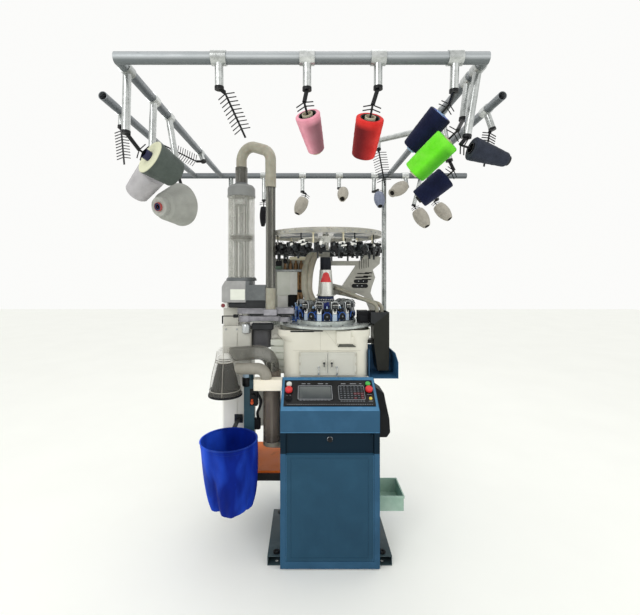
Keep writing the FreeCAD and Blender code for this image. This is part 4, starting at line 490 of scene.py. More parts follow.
class Form:
    """A mesh under construction, in millimetres. Its points pass through the turn of the moment."""

    turn = HERE

    def __init__(self, turn=None):
        self.bm = bmesh.new()
        if turn is not None:
            self.turn = turn

    def rings(self, loops, closed=False, start=True, end=True):
        """A skin over loops of points that all have the same count."""
        rows = [[self.bm.verts.new(point) for point in loop] for loop in loops]
        for low, high in list(zip(rows, rows[1:])) + ([(rows[-1], rows[0])] if closed else []):
            for n in range(len(low)):
                m = (n + 1) % len(low)
                self.bm.faces.new((low[n], low[m], high[m], high[n]))
        if start and not closed:
            self.bm.faces.new(rows[0][::-1])
        if end and not closed:
            self.bm.faces.new(rows[-1])
        return self

    def spun(self, profile, at, axis, sides, closed=False):
        turn = Matrix.Translation(at) @ axis.to_track_quat("Z", "Y").to_matrix().to_4x4()
        return self.rings([[turn @ polar(ORIGIN, r, a, z) for a in round_steps(sides)] for r, z in profile],
                          closed)

    def lathe(self, profile, at, sides, axis=UP, closed=False):
        """A turned form from (radius, height) pairs about an axis through a point."""
        return self.spun(profile, self.turn @ Vector(at), self.turn.to_3x3() @ Vector(axis), sides, closed)

    def ring(self, profile, at, sides, axis=UP):
        return self.lathe(profile, at, sides, axis, True)

    def band(self, inner, outer, low, high, at, sides, axis=UP):
        return self.ring([(inner, low), (outer, low), (outer, high), (inner, high)], at, sides, axis)

    def disc(self, r, depth, at, sides):
        return self.lathe([(0.1, 0), (r, 0), (r, depth), (0.1, depth)], at, sides, FRONT)

    def screw(self, at, r, h, axis=FRONT):
        """A socket-head screw."""
        return self.lathe([(0.1, 0), (r, 0), (r, h * 0.75), (r * 0.86, h), (r * 0.5, h), (r * 0.5, h * 0.4),
                           (0.1, h * 0.4)], at, 14, axis)

    def rod(self, start, end, r, r_end=None, sides=20):
        """A round bar with softened ends."""
        a, b = self.turn @ Vector(start), self.turn @ Vector(end)
        length = (b - a).length
        r_end = r if r_end is None else r_end
        edge = min(r, r_end, length / 2) * 0.18
        return self.spun([(r - edge, 0), (r, edge), (r_end, length - edge), (r_end - edge, length)],
                         a, b - a, sides)

    def block(self, *rows):
        """Boxes with chamfered edges: low corner, high corner and chamfer in each row."""
        for *corners, edge in rows:
            lo, hi = Vector(corners[:3]), Vector(corners[3:])
            e = min(edge, *[(hi[n] - lo[n]) * 0.3 for n in range(3)])
            c = e * 0.9
            loops = []
            for z, inset in ((lo.z, e), (lo.z + e, 0), (hi.z - e, 0), (hi.z, e)):
                x0, x1, y0, y1 = lo.x + inset, hi.x - inset, lo.y + inset, hi.y - inset
                loops.append([self.turn @ Vector((x, y, z)) for x, y in (
                    (x0 + c, y0), (x1 - c, y0), (x1, y0 + c), (x1, y1 - c), (x1 - c, y1), (x0 + c, y1),
                    (x0, y1 - c), (x0, y0 + c))])
            self.rings(loops)
        return self

    def slab(self, outline, depth, edge=0.8):
        """A flat plate on an outline in the turn's own plane, raised along its Z."""
        points = [Vector(p) for p in outline]
        middle = sum(points, Vector((0, 0))) / len(points)
        inner = [p + (middle - p).normalized() * edge for p in points]
        return self.rings([[self.turn @ Vector((p.x, p.y, z)) for p in loop]
                           for z, loop in ((0, points), (depth - edge, points), (depth, inner))])

    def sweep(self, points, r, sides, closed=False, smooth=0):
        """A round tube along points, or along a smooth line through them, carried without twist."""
        path = [self.turn @ Vector(p) for p in points]
        if smooth:
            path = smooth_line(path, smooth)
        count = len(path)
        loops, normal = [], None
        for n, here in enumerate(path):
            ahead = path[(n + 1) % count] if closed or n < count - 1 else here
            behind = path[n - 1] if closed or n else here
            along = (ahead - behind).normalized()
            if normal is None:
                normal = along.orthogonal().normalized()
            normal = (normal - along * normal.dot(along)).normalized()
            side = along.cross(normal)
            loops.append([here + (normal * math.cos(a) + side * math.sin(a)) * r for a in round_steps(sides)])
        return self.rings(loops, closed)

    def line(self, outline, r, lift):
        """A fine raised line round an outline."""
        return self.sweep([(x, y, lift) for x, y in outline], r, 6, True)

    def done(self, name, look, body="frame", place=None, slot=None, replaces=(), angle=38):
        """Turns the form into a piece in metres that rides on a body."""
        bmesh.ops.recalc_face_normals(self.bm, faces=self.bm.faces)
        data = bpy.data.meshes.new(name)
        self.bm.to_mesh(data)
        self.bm.free()
        data.transform(Matrix.Scale(MM, 4))
        data.shade_smooth()
        data.set_sharp_from_angle(angle=math.radians(angle))
        piece = placed(name, data)
        data.materials.append(material(look))
        if place is not None:
            piece.matrix_world = place
        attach(piece, body)
        if replaces:
            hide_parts(*replaces)
        return piece


def forms(count):
    return [Form() for _ in range(count)]


def round_steps(sides, start=0):
    """Even angles round a circle from a start in degrees."""
    return [2 * math.pi * n / sides + math.radians(start) for n in range(sides)]


def polar(centre, r, angle, z):
    """A point at a radius and an angle round an upright axis."""
    return Vector((centre[0] + r * math.cos(angle), centre[1] + r * math.sin(angle), z))


def smooth_line(path, steps):
    """A Catmull-Rom line through the points."""
    path = [path[0] * 2 - path[1]] + path + [path[-1] * 2 - path[-2]]
    line = []
    for a, b, c, d in zip(path, path[1:], path[2:], path[3:]):
        for t in [n / steps for n in range(steps)]:
            line.append(0.5 * ((2 * b) + (c - a) * t + (2 * a - 5 * b + 4 * c - d) * t * t
                               + (3 * b - a - 3 * c + d) * t ** 3))
    return line + [path[-2]]


def rounded_rect(u, v, w, h, r, steps=5):
    """Corner-rounded outline about u, v."""
    points = []
    for cx, cy, start in ((w / 2 - r, h / 2 - r, 0), (-w / 2 + r, h / 2 - r, 90),
                          (-w / 2 + r, -h / 2 + r, 180), (w / 2 - r, -h / 2 + r, 270)):
        for a in [math.radians(start + 90 * n / steps) for n in range(steps + 1)]:
            points.append((u + cx + r * math.cos(a), v + cy + r * math.sin(a)))
    return points


def upright(y, side=1):
    """Placement of an outline in x and z on a plane at y."""
    return Matrix(((1, 0, 0, 0), (0, 0, side, y), (0, 1, 0, 0), (0, 0, 0, 1)))


def about_head(angle, lift=0.0):
    """Placement of a station round the head: its -Y looks outward."""
    return Matrix.Translation(HEAD + Vector((0, 0, lift))) @ Matrix.Rotation(math.radians(angle), 4, "Z")


def stations(count, start=0, lift=0):
    """Turns to each of the even stations round the head, and back after the last."""
    for n in range(count):
        Form.turn = about_head(360 / count * n + start, lift)
        yield n
    Form.turn = HERE


def spindle(base, nose):
    """Length of a package in millimetres, and its placement in metres along its spindle."""
    start, tip = Vector(base), Vector(nose)
    turn = (tip - start).to_track_quat("Z", "Y").to_matrix().to_4x4()
    return (tip - start).length, Matrix.Translation(start * MM) @ turn


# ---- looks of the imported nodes

LOOKS = {
    "tube": ("creel_tubes",), "post": ("creel_posts",), "drop": ("creel_drop_tubes",),
    "black": ("cone_holders",), "rail": ("base_rails",), "housing": ("machine_housing",),
    "deck": ("shelf_frame",), "blue": ("cabinet_shell",), "door": ("cabinet_door",),
    "black_soft": ("door_lock", "selector_knob", "sock_gate", "drive_belt", "valve_block", "side_box"),
    "fascia": ("control_fascia",), "white_key": ("white_button",), "white": ("drive_box",),
    "red": ("stop_button_left", "stop_button_right"), "green": ("green_button",),
    "cream": ("shroud",), "hatch": ("hatch_left", "hatch_right"), "cream_box": ("cream_box",),
    "bed": ("bed_plate",), "steel": ("needle_cylinder", "dial", "transport_guides", "motor_pulley"),
    "alloy": ("drive_motor", "transport_slider"), "lilac": ("transfer_arm",),
    "feeder": ("cam_boxes",), "finger": ("yarn_finger_units",), "cover": ("dial_cover",),
    "motor": ("dial_motor",), "casting": ("head_bracket",), "disc": ("top_disc",),
    "dark_steel": ("tension_ring", "bag_ring"), "pillar": ("linker_pillar",), "unit": ("linker_housing",),
    "clear": ("clear_cylinder",), "clear_tube": ("clear_ducts",), "bell": ("collector_bell",),
    "gauze": ("mesh_cone",), "hose": ("ducts",), "teal": ("air_post",), "chute": ("waste_chute",),
    "tray": ("side_tray",), "crate": ("green_crate",),
}

# Parts of a node that wear another finish: node, box in millimetres, look.
PATCHES = (
    ("linker_pillar", (-330, 30, 1080), (-200, 150, 1224), "swing_motor"),
    ("linker_housing", (-500, -30, 1330), (-309.5, 170, 1386), "unit_black"),
    ("valve_block", (-230, 40, 920), (-110, 130, 1190), "white"),
    ("clear_ducts", (-235, -75, 1330), (-155, 15, 1450), "beige"),
    ("clear_ducts", (-235, -75, 2050), (-155, 15, 2160), "beige"),
    ("clear_ducts", (-260, -100, 560), (-120, 20, 980), "brown_tube"),
    ("bag_ring", (-560, -440, 655), (-225, -100, 700), "bag_hem"),
    # Painted light: the cabinet's slope takes the lighter blue.
    ("cabinet_shell", (-117, -301, 829), (397, -100, 956), "lip"),
    ("ducts", (-480, -300, 940), (-150, 60, 1062), "duct_dark"),
    ("linker_pillar", (-402, -70, 1298), (-50, 120, 1336), "lilac"),
    ("transport_guides", (-480, -20, 2016), (-290, 160, 2084), "cap_grey"),
    ("waste_chute", (350, -10, 1242), (530, 130, 1320), "unit_black"),
    ("cam_boxes", (-60, -30, 1200), (340, 380, 1400), "feeder_deep"),
    ("linker_housing", (-500, -30, 1386), (-345, 170, 1510), "unit_light"),
    ("clear_ducts", (-500, -180, 1030), (-120, 20, 1140), "elbow"),
)


def dress_nodes():
    for look, names in LOOKS.items():
        for name in names:
            slots = NODES[name].data.materials
            slots.clear()
            slots.append(material(look))
    for name, low, high, look in PATCHES:
        data = NODES[name].data
        data.materials.append(material(look))
        number = len(data.materials) - 1
        for face in data.polygons:
            if all(low[n] <= face.center[n] / MM <= high[n] for n in range(3)):
                face.material_index = number


# ---- yarn packages

# Each package: its node, base and nose of the spindle, base and nose radius, yarn and tube looks.
PACKAGES = {
    "pink": ("cone_pink", (21, -828, 2154), (59, -722, 2048), 49, 33, "pink_yarn", "paper"),
    "red": ("cone_red", (262, -828, 2142), (250, -722, 2028), 54, 47, "red_yarn", "paper"),
    "navy_front": ("cones_dark", (570, -722, 2200), (474, -628, 2088), 52, 44, "navy_yarn", "tube_blue"),
    "charcoal": ("cones_dark", (664, -789, 2036), (812, -772, 1994), 46, 27, "charcoal_yarn", "black"),
    "green": ("cone_green", (578, -777, 2074), (468, -692, 1966), 54, 51, "green_yarn", "paper"),
    "navy_back": ("cones_dark", (716, -380, 2028), (594, -330, 1926), 57, 50, "navy_yarn", "black"),
    "cream": ("cone_cream", (-641, -690, 2035), (-562, -590, 1985), 76, 60, "cream_yarn", "tube_navy"),
    "white": ("cones_white", (-690, -536, 2004), (-786, -486, 1922), 66, 54, "white_yarn", "paper"),
    "pale": ("cones_white", (-606, -392, 1886), (-664, -530, 1852), 106, 46, "pale_yarn", "tube_red"),
    "rear_black": ("rear_bobbins", (-337, 846, 2088), (-340, 820, 1930), 30, 22, "black_yarn", "hollow"),
    "rear_a": ("rear_bobbins", (-4, 832, 2154), (-60, 800, 2028), 52, 34, "bobbin_yarn", "hollow"),
    "rear_b": ("rear_bobbins", (318, 834, 2224), (300, 730, 2134), 46, 38, "bobbin_yarn", "hollow"),
    "rear_c": ("rear_bobbins", (596, 770, 2182), (596, 705, 2072), 44, 33, "blue_yarn", "hollow"),
    "rear_d": ("rear_bobbins", (812, 820, 2258), (690, 712, 2176), 54, 48, "bobbin_yarn", "hollow"),
    "rear_e": ("rear_bobbins", (920, 822, 2054), (980, 760, 1920), 58, 36, "bobbin_yarn", "hollow"),
    "rear_f": ("rear_bobbins", (1090, 832, 2098), (1165, 770, 1980), 54, 34, "bobbin_yarn", "hollow"),
}
HOLLOW = ("pink", "red", "navy_front")     # wound on a wide tube, open at the base


def cone_profile(key, r_base, r_nose, length):
    """Radius and height along a package, from inside its base round to inside its nose."""
    if key.startswith("rear"):
        rows = [(10, 6), (r_base * 0.5, 1.5), (r_base * 0.74, 0.5)]
        for n in range(1, 24):
            t = n / 24
            r = r_base * (0.78 + 0.9 * t * (1 - t) ** 0.7) * (1 - 0.42 * t ** 2.2)
            rows.append((min(r, r_base), length * t))
        hole = min(16, r_nose * 0.45)
        return rows + [(r_nose * 0.72, length - 0.6), (hole + 3, length - 1.5), (hole, length - 9)]
    hollow = r_base * 0.63 if key in HOLLOW else 20
    deep = 34 if hollow > 21 else 4
    rows = [(19, deep + 1), (hollow - 2, deep), (hollow, deep - 2), (hollow, 4), (hollow + 2, 1.6),
            (r_base * 0.86, 0.6), (r_base - 3.4, 1.6), (r_base - 0.6, 5)]
    for n in range(1, 22):
        t = n / 22
        r = (r_base + (r_nose - r_base) * t) * (1 + 0.014 * math.sin(math.pi * t))
        if key == "pale":
            r = r_base + (r_nose + 16 - r_base) * t / 0.8 if t < 0.8 else r_nose - 3 * (t - 0.8)
        rows.append((min(r, max(r_base, r_nose)), length * t))
    return rows + [(r_nose - 0.6, length - 4), (r_nose - 3.2, length - 1.2), (r_nose - 8, length - 0.6),
                   (r_nose * 0.62, length - 2), (19, length - 4)]


def package(key, base, nose, r_base, r_nose, look, tube_look):
    """A wound package on its tube."""
    lean = random.Random(key).uniform(0, 6.28)
    length, place = spindle(base, nose)
    loops = []
    for r, z in cone_profile(key, r_base, r_nose, length):
        loop = []
        for angle in round_steps(64):
            ripple = 0.3 * math.sin(angle * 7 + z * 0.22 + lean) + 0.2 * math.sin(angle * 4 - z * 0.35)
            size = r + (ripple if r > 24 else 0)
            loop.append(polar(ORIGIN, size, angle, z))
        loops.append(loop)
    body = Form().rings(loops, start=False, end=False).done("yarn_" + key, look, place=place)
    core = Form()
    if key.startswith("rear"):
        hole = min(16, r_nose * 0.45)
        # The tube inside the nose hole, in the near-black hollow look: painted shade in the hole.
        core.lathe([(0.1, length - 8), (hole - 1, length - 8), (hole, length - 2), (hole + 1, length + 1),
                    (hole + 3, length + 0.6), (hole + 2.6, length - 3), (hole, 5), (0.1, 5)], ORIGIN, 10)
    else:
        out = 24 if key == "cream" else 3
        core.ring([(18.2, -out), (20.4, -out - 0.4), (21, -out + 2), (20.6, 3), (20, length - 3),
                   (19.6, length + 7), (18.8, length + 8), (18.2, length + 7)], ORIGIN, 40)
    core.done("core_" + key, tube_look, place=place)
    if key in HOLLOW:
        r = r_base * 0.63
        # The bore of the wide tube: for pink and red its near-black is painted shade, and its rim is the
        # tube's own dark green-grey; for the navy it is its light blue tube.
        Form().ring([(19.2, 33), (r - 2.4, 32.6), (r - 0.8, 31), (r - 0.6, 3), (r + 3.4, 0.2), (r + 4, 1.4),
                     (r + 0.2, 5), (r + 0.2, 34), (19.2, 34)], ORIGIN, 48).done(
            "well_" + key, "tube_light" if key == "navy_front" else "well", place=place)
    return body


def packages():
    stand_in = {}
    for key, (node, *form) in PACKAGES.items():
        stand_in.setdefault(node, package(key, *form))
    for node, body in stand_in.items():
        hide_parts(node)
    length, place = spindle(*PACKAGES["pale"][1:3])
    Form().ring([(10, length + 2), (17.8, length + 2), (17.8, length + 6.5), (10, length + 6)],
                ORIGIN, 32).done("tube_ring_pale", "tube_navy", place=place)


# ---- sock bag

HEM_RADIUS, CLOTH_THICKNESS = 0.150, 0.0008     # in metres


def bag_point(share, angle, inset=0.0):
    """A point of the hanging bag: share runs from its hem to its sagging floor."""
    centre_x = -393 + 16 * share
    base = 150 - 3 * share - 34 * share ** 4 - inset
    wide = 1 - 0.02 * share
    drape = share ** 0.6
    fold = (0.07 * math.sin(5 * angle + 0.6 + 1.2 * share) + 0.04 * math.sin(3 * angle - 0.8)
            + 0.018 * math.sin(11 * angle + 4 * share) + 0.01 * math.sin(17 * angle - 6 * share))
    crease = -0.17 * max(0.0, math.cos(angle + 1.98 + 0.3 * share)) ** 26 * share ** 0.7
    crease += 0.05 * max(0.0, math.cos(angle + 1.66 + 0.2 * share)) ** 26 * share
    crease -= 0.05 * max(0.0, math.cos(angle + 0.7 + 0.5 * share)) ** 40 * share
    crease -= 0.04 * max(0.0, math.cos(angle + 2.6 - 0.4 * share)) ** 40 * share
    r = base * (1 - drape * 0.06 + fold * drape * 0.9 + crease)
    z = 667 - 352 * share
    z += (6 * math.sin(2 * angle + 0.4) + 2.5 * math.sin(5 * angle)) * (1 - share) * 0.35
    return Vector((centre_x + r * wide * math.cos(angle), -270 + r * 0.985 * math.sin(angle), z))


def sock_bag():
    """The thin blue bag as one lofted cloth shell that narrows and creases to its floor."""
    sides, rows = 120, 46
    steps = round_steps(sides)
    loops = [[bag_point(n / (rows - 1) * 0.965, a) for a in steps] for n in range(rows)]
    edge = loops[-1]
    middle = sum(edge, Vector()) / sides
    for ring_share, drop in ((0.9, 8), (0.72, 11), (0.5, 12.5), (0.28, 13), (0.1, 13)):
        loops.append([middle + (point - middle) * ring_share + Vector((0, 0, -drop + 2.2 * math.sin(5 * a)))
                      for a, point in zip(steps, edge)])
    bag = Form().rings(loops, start=False).done("bag_cloth", "bag", replaces=("sock_bag",), slot="bag_cloth",
                                                angle=75)
    solid = bag.modifiers.new("thickness", "SOLIDIFY")
    solid.thickness = CLOTH_THICKNESS
    solid.offset = 0
    apply_modifiers(bag)
    rim = [bag_point(0.0, a) + Vector((0, 0, 1)) for a in steps]
    band = [bag_point(0.05, a, -0.8) for a in steps]
    hem = Form().sweep(rim, 2.2, 8, True).sweep(band, 0.7, 6, True).done(
        "bag_hem", "bag_hem", slot="bag_cloth")


def apply_modifiers(piece):
    graph = bpy.context.evaluated_depsgraph_get()
    data = bpy.data.meshes.new_from_object(piece.evaluated_get(graph))
    piece.modifiers.clear()
    old = piece.data
    piece.data = data
    bpy.data.meshes.remove(old)


# ---- console and cabinet

SLOPE = math.atan2(950 - 828, -107 + 300)
CONSOLE = Matrix.Translation((140, -300, 828)) @ Matrix.Rotation(SLOPE, 4, "X")


def console():
    """What lies on the slanted face, in its own plane: across, up the slope, and off the face."""
    top = 4
    Form(CONSOLE @ Matrix.Translation((0, 0, 5.5))).slab(rounded_rect(-76, 115, 174, 82, 3), 1.2).done(
        "screen_glass", "screen")
    Form.turn = CONSOLE
    lines = Form().line(rounded_rect(-76, 115, 184, 91, 4), 1.6, 7.4)
    lines.line(rounded_rect(123, 115, 140, 97, 9), 1.1, 7.0)
    for u in [-225 + n * 12.1 for n in range(38)]:
        lines.block((u, 37, top, u + 5.5, 39.4, top + 0.5, 0.2))
    for n in range(9):
        lines.block((-160 + n * 19, 62.6, top + 1.5, -148 + n * 19, 65.4, top + 2.2, 0.2),
                    (60 + n * 15, 58.4, top, 70 + n * 15, 61, top + 0.6, 0.2))
    for u, v in ((-219, 148), (-219, 98), (219, 150), (219, 104), (222, 60)):
        lines.block((u - 12, v - 1.2, top, u + 12, v + 1.2, top + 0.5, 0.2))
    for u, wide in ((-150, 22), (-118, 16), (-60, 30), (-16, 12), (70, 26), (120, 34), (172, 12)):
        lines.block((u, 176, top, u + wide, 180, top + 0.5, 0.2))
    lines.done("console_lines", "line")
    Form().line(rounded_rect(0, 116, 483, 170, 10), 1.6, 4.2).done("fascia_edge", "black_soft")
    keys = {kind: Form() for kind in ("key", "key_pale", "key_red")}
    rng = random.Random(3)
    for row in range(6):
        for column in range(7):
            u, v = 66 + column * 19, 152 - row * 14.8
            kind = "key_red" if column > 3 and row > 2 and rng.random() < 0.55 else "key"
            keys[kind].block((u - 7.6, v - 5.4, 5.8, u + 7.6, v + 5.4, 8.4, 1.6))
            keys["key_pale"].block((u - 4.6, v - 1.6, 8.3, u + 4.6, v + 2.2, 8.75, 0.4))
    for kind, form in keys.items():
        form.done("keys_" + kind, kind)
    collars, grip = forms(2)
    for u, v, r in ((-219, 168, 18), (-219, 124, 23.4), (-219, 74, 20), (219, 172, 17), (219, 128, 23.4)):
        collars.ring([(r - 2.4, 4), (r, 4), (r, 6), (r - 0.8, 7), (r - 2.4, 7)], (u, v, 0), 36)
    collars.done("button_collars", "black_soft")
    Form().lathe([(0.1, 4), (9, 4), (9, 8), (6.5, 11.5), (2.5, 13), (0.1, 13.2)], (222, 76, 0), 28).done(
        "lamp", "yellow")
    for a in round_steps(18):
        grip.rod(polar((-219, 74), 17, a, 5), polar((-219, 74), 17, a, 12.5), 1.7, 1.3, 6)
    grip.done("knob_ribs", "black_soft", "knob")
    Form.turn = HERE


def cabinet():
    # Thin lines round the door, drawn in the lighter blue that is painted light.
    Form().block((-119, -301.2, 714, 399, -299, 717, 0.6), *[
        (x, -301.0, 47, x + 1.6, -299.4, 596, 0.4) for x in (-89.5, 367.5)]).done("door_gap_lines", "lip")
    Form(upright(-300.6)).line(rounded_rect(138, 322, 404, 520, 6), 1.1, 0.2).done(
        "door_press_line", "door", "door")
    Form().ring([(9, 0), (15.5, 0), (15.5, 2), (13.5, 4.2), (9, 4.2)], (140, -287.6, 675), 36, FRONT).done(
        "lock_rose", "bright", "door")
    hinge, feet = forms(2)
    for z in (52, 700):
        hinge.rod((361, -295, z - 6), (361, -295, z + 6), 5.5)
    hinge.done("door_barrels", "blue", "door")
    for at in [(x, y, 0) for x in (-142.5, 422.5) for y in (-240, 100)]:
        feet.band(9.4, 20, 50, 53, at, 28).ring([(9.6, 53), (15, 53), (14, 57), (9.6, 57)], at, 6)
    feet.done("anchor_washers", "black")


# ---- pieces made of plain blocks

PLAIN = {
    # Black strips at the top of the shroud's front: painted shadow of the gap under the bed plate.
    "shroud_gap_painted_shadow": ("black_soft", (-76, -83, 1205, 60, -79.5, 1213.5, 1),
                      (60, -82, 1208, 112, -79.5, 1214, 1)),
    "front_blocks": ("indigo", (119, 94, 1322, 139, 111, 1358, 3), (142, 96, 1318, 162, 111, 1364, 3),
                     (126, 90, 1334, 156, 96, 1346, 2)),
    "rear_column": ("copper", (-48, 264, 1240, -30, 300, 1555, 3), (-26, 264, 1240, -8, 300, 1555, 3),
                    *[(-50, 261, z, -6, 303, z + 10, 2) for z in (1300, 1352, 1404, 1470, 1530)]),
    "rear_black_units": (
        "black_soft", (-107, 262, 1300, -52, 330, 1400, 4), (-64, 262, 1416, -2, 304, 1436, 3),
        (-198, 262, 1594, -150, 300, 1626, 3), (-138, 258, 1612, -110, 296, 1640, 3),
        *[(-196 + 13 * n, 258, 1626, -188 + 13 * n, 270, 1648 - 5 * n, 1) for n in range(4)],
        (-62, 304, 1242, -4, 318, 1555, 2)),
    "rear_plate": ("alloy", (-206, 252, 1555.4, 8, 352, 1571, 2)),
    "drive_box_covers": ("ceramic", (-92, 256.5, 1404, -47, 259.8, 1553, 1),
                         (-176, 263, 1250, -110, 265.8, 1396, 1)),
    "rear_backs": ("casting", (-100, 312, 1571, 14, 330, 1636, 3), (-202, 300, 1300, -178, 345, 1556, 3),
                   (-164, 290, 1571, -112, 326, 1646, 5), (-206, 332, 1571, -96, 346, 1644, 3)),
    "rear_board": ("board_green", (-204, 264, 1571, -148, 330, 1596, 3)),
    "rear_beam": ("cream_soft", (-98, 262, 1634, 20, 300, 1656, 3)),
    "guide_rails": ("dark_steel", *[(x - 5, 58, 1502, x + 5, 66, 2014, 1.2) for x in (-411, -359)]),
    "unit_black_parts": (
        "unit_black", (-152, 24, 1288, -62, 108, 1299.6, 2), (-330, 27, 1288, -154, 110, 1299.8, 2),
        (-343, -26, 1338, -226, -14, 1384, 3), (-314, -4, 1204, -182, 36, 1245, 6)),
    "pillar_sheet": ("pillar", (-268, -22, 640, -226, -18, 905, 1), (-272, -24, 896, -222, -16, 906, 2)),
}


def plain_pieces():
    for name, (look, *rows) in PLAIN.items():
        Form().block(*rows).done(name, look)


# ---- shroud and hatches

def shroud_trim():
    Form().block((97, -80.8, 1100, 98.4, -79.7, 1206, 0.3), (139.2, -80.8, 1091, 140.8, -79.7, 1098, 0.3),
                 (-60, -80.8, 1098, 330, -79.7, 1099.4, 0.3)).rod(
        (126, -80, 1211), (188, -80, 1134), 0.9, 0.9, 6).done("shroud_seams", "seam")
    left, right = 189, 274
    Form().rings([((left + inset, y, 1137 + inset), (right - inset, y, 1137 + inset),
                   (right - inset, y, 1213 - inset), (left + inset, y, 1213 - inset))
                  for y, inset in ((-79, 0), (-91, 0.5), (-94, 4))]).done("grip_pad", "cream")
    Form().rings([((x0, y0, z), (x1, y0, z), (x1, -80, z), (x0, -80, z)) for x0, x1, y0, z in (
        (198, 302, -88, 1120), (198, 302, -91, 1122), (206, 285, -96, 1135), (206, 285, -94, 1137))]).done(
        "grip_underside", "shade")
    for side, body in ((-1, "left_leaf"), (1, "right_leaf")):
        outline = rounded_rect(140 + side * 81, 1024, 136, 112, 5)
        Form(upright(-92.6)).line(outline, 1.4, 0.2).done("hatch_press_" + body, "hatch", body)
        x = 140 + side * 22
        pull, loop, knuckles = forms(3)
        pull.sweep([(x, -104, 1034), (x, -112, 1030), (x, -113, 1020), (x, -108, 1010)], 2.6, 8, smooth=5)
        pull.lathe([(0.1, 0), (6.4, 0), (6.4, 3), (5, 4.6), (0.1, 4.6)], (x, -104.2, 1030), 20, FRONT)
        pull.done("hatch_pull_" + body, "dark_steel", body)
        x = 140 + side * 52
        loop.sweep([(x, -91, 1004), (x, -103, 1001), (x, -107, 990), (x, -107, 976), (x, -103, 965),
                    (x, -91, 962)], 3.4, 10, smooth=5)
        for z in (962, 1004):
            loop.lathe([(0.1, 0), (7, 0), (7, 1.6), (5.4, 3), (0.1, 3)], (x, -92.4, z), 20, FRONT)
        loop.done("hatch_loop_" + body, "bright", body)
        x = 140 + side * 160
        for z in (972, 1024, 1076):
            knuckles.rod((x, -89.3, z - 9), (x, -89.3, z + 9), 5.7, sides=18)
        knuckles.done("hatch_knuckles_" + body, "seam", body)


# ---- knitting head

def cam_stations():
    """Twelve cam boxes: a dark drum face with a bright blue rim, side cheeks, lever and screws."""
    blue, pale, dark, bolt = forms(4)
    for _ in stations(12, 0, BED):
        blue.sweep([(24 * math.cos(a), -184.5, 30 + 24 * math.sin(a))
                    for a in [math.radians(10 * k - 20) for k in range(23)]], 2.2, 8)
        blue.block((-25, -172, 1, -19, -142, 44, 2), (19, -172, 1, 25, -142, 44, 2),
                   (-14, -166, 46, 14, -146, 60, 3))
        dark.lathe([(0.1, 0), (21, 0), (21, 3), (15, 5), (0.1, 5)], (0, -183, 30), 28, FRONT)
        dark.block((-10, -172, 56, 10, -150, 76, 3))
        dark.ring([(6, 0), (13, 0), (12, 3), (7, 3)], (0, -188, 30), 24, FRONT)
        pale.block((-5, -168, 74, 5, -152, 90, 2))
        bolt.screw((0, -188, 30), 5, 3)
        for x in (-15, 15):
            bolt.screw((x, -175, 7), 3.6, 2.4)
    Form.turn = Matrix.Translation((0, 0, BED))
    for x, y, tall in ((-78, 128, 58), (-57, 112, 80), (-35, 98, 60)):
        blue.block((x, y, -14, x + 19, y + 26, tall, 4))
        pale.block((x + 4, y - 3, 2, x + 9, y, tall - 10, 1.5))
        dark.block((x + 11, y - 4, 14, x + 17, y, tall - 22, 1.5))
        pale.rod((x + 9, y + 13, tall), (x + 3, y + 4, tall + 24), 5, 4, 14)
    Form.turn = HERE
    blue.done("cam_rims", "feeder", slot="blue_plastic")
    pale.done("cam_trim", "feeder_pale")
    dark.done("cam_faces", "black")
    bolt.done("cam_screws", "steel")


def finger_stations():
    """Yarn finger units: an arched steel frame round a black comb head with white ceramic eyes,
    thin levers to the needles, and a pale cover plate below. One station of twelve is free."""
    arch, comb, eye, lever, plate, tag = forms(6)
    for n in stations(12, 15, BED):
        if n == 9:
            continue
        comb.block((-20, -187, 76, 20, -170, 110, 3), (-9, -184, 60, 9, -176, 76, 2))
        arch.sweep([(-22, -181, 74), (-22, -181, 98), (-17, -181, 115), (0, -181, 119), (17, -181, 115),
                    (22, -181, 98), (22, -181, 74)], 2.6, 8, smooth=5)
        for x in (-13.5, -4.5, 4.5, 13.5):
            eye.rod((x, -186, 99), (x, -193, 98), 2.7, 2.1, 12)
            lever.sweep([(x, -176, 111), (x, -152, 121), (x * 0.8, -120, 114), (x * 0.55, -92, 104)], 1.5, 6,
                        smooth=4)
            lever.rod((x, -189, 80), (x, -186, 94), 1.1, 1.1, 6)
        plate.block((-14, -181, 2, 14, -176.5, 42, 1.5))
        tag.block((-12, -180.5, 44, 12, -176.5, 74, 1.5))
        comb.disc(3.4, 1.4, (0, -180.6, 56), 14)
    arch.done("finger_frames", "bright")
    comb.done("finger_combs", "black")
    eye.done("finger_eyes", "ceramic")
    lever.done("finger_levers", "steel")
    plate.done("finger_plates", "pale_plate")
    tag.done("finger_tags", "ceramic")


def head_core():
    """What shows between the stations: a dark inner ring, the foot of the blue blocks before the
    dial, and the second hose."""
    inner = Form().ring([(84, BED), (132, BED), (132, BED + 34), (122, BED + 44), (84, BED + 44)], HEAD, 72)
    for _ in stations(24, 7.5, BED):
        inner.block((-6, -138, 0, 6, -130, 40, 1.5))
    inner.done("inner_ring", "feeder_deep")
    foot = Form().block((112, 84, 1299, 168, 112, 1322, 3))
    for x in (120, 140, 160):
        foot.screw((x, 84, 1310), 4, 3)
    foot.done("front_block_foot", "iron")
    Form().sweep([(63, 112, 1372), (50, 122, 1396), (36, 134, 1440), (38, 146, 1520), (50, 168, 1590),
                  (72, 204, 1650), (104, 236, 1684)], 19, 20, smooth=8).done("second_hose", "beige")
    Form().rod((63, 112, 1380), (57, 118, 1296), 9, 6, 16).done("second_hose_nozzle", "beige")


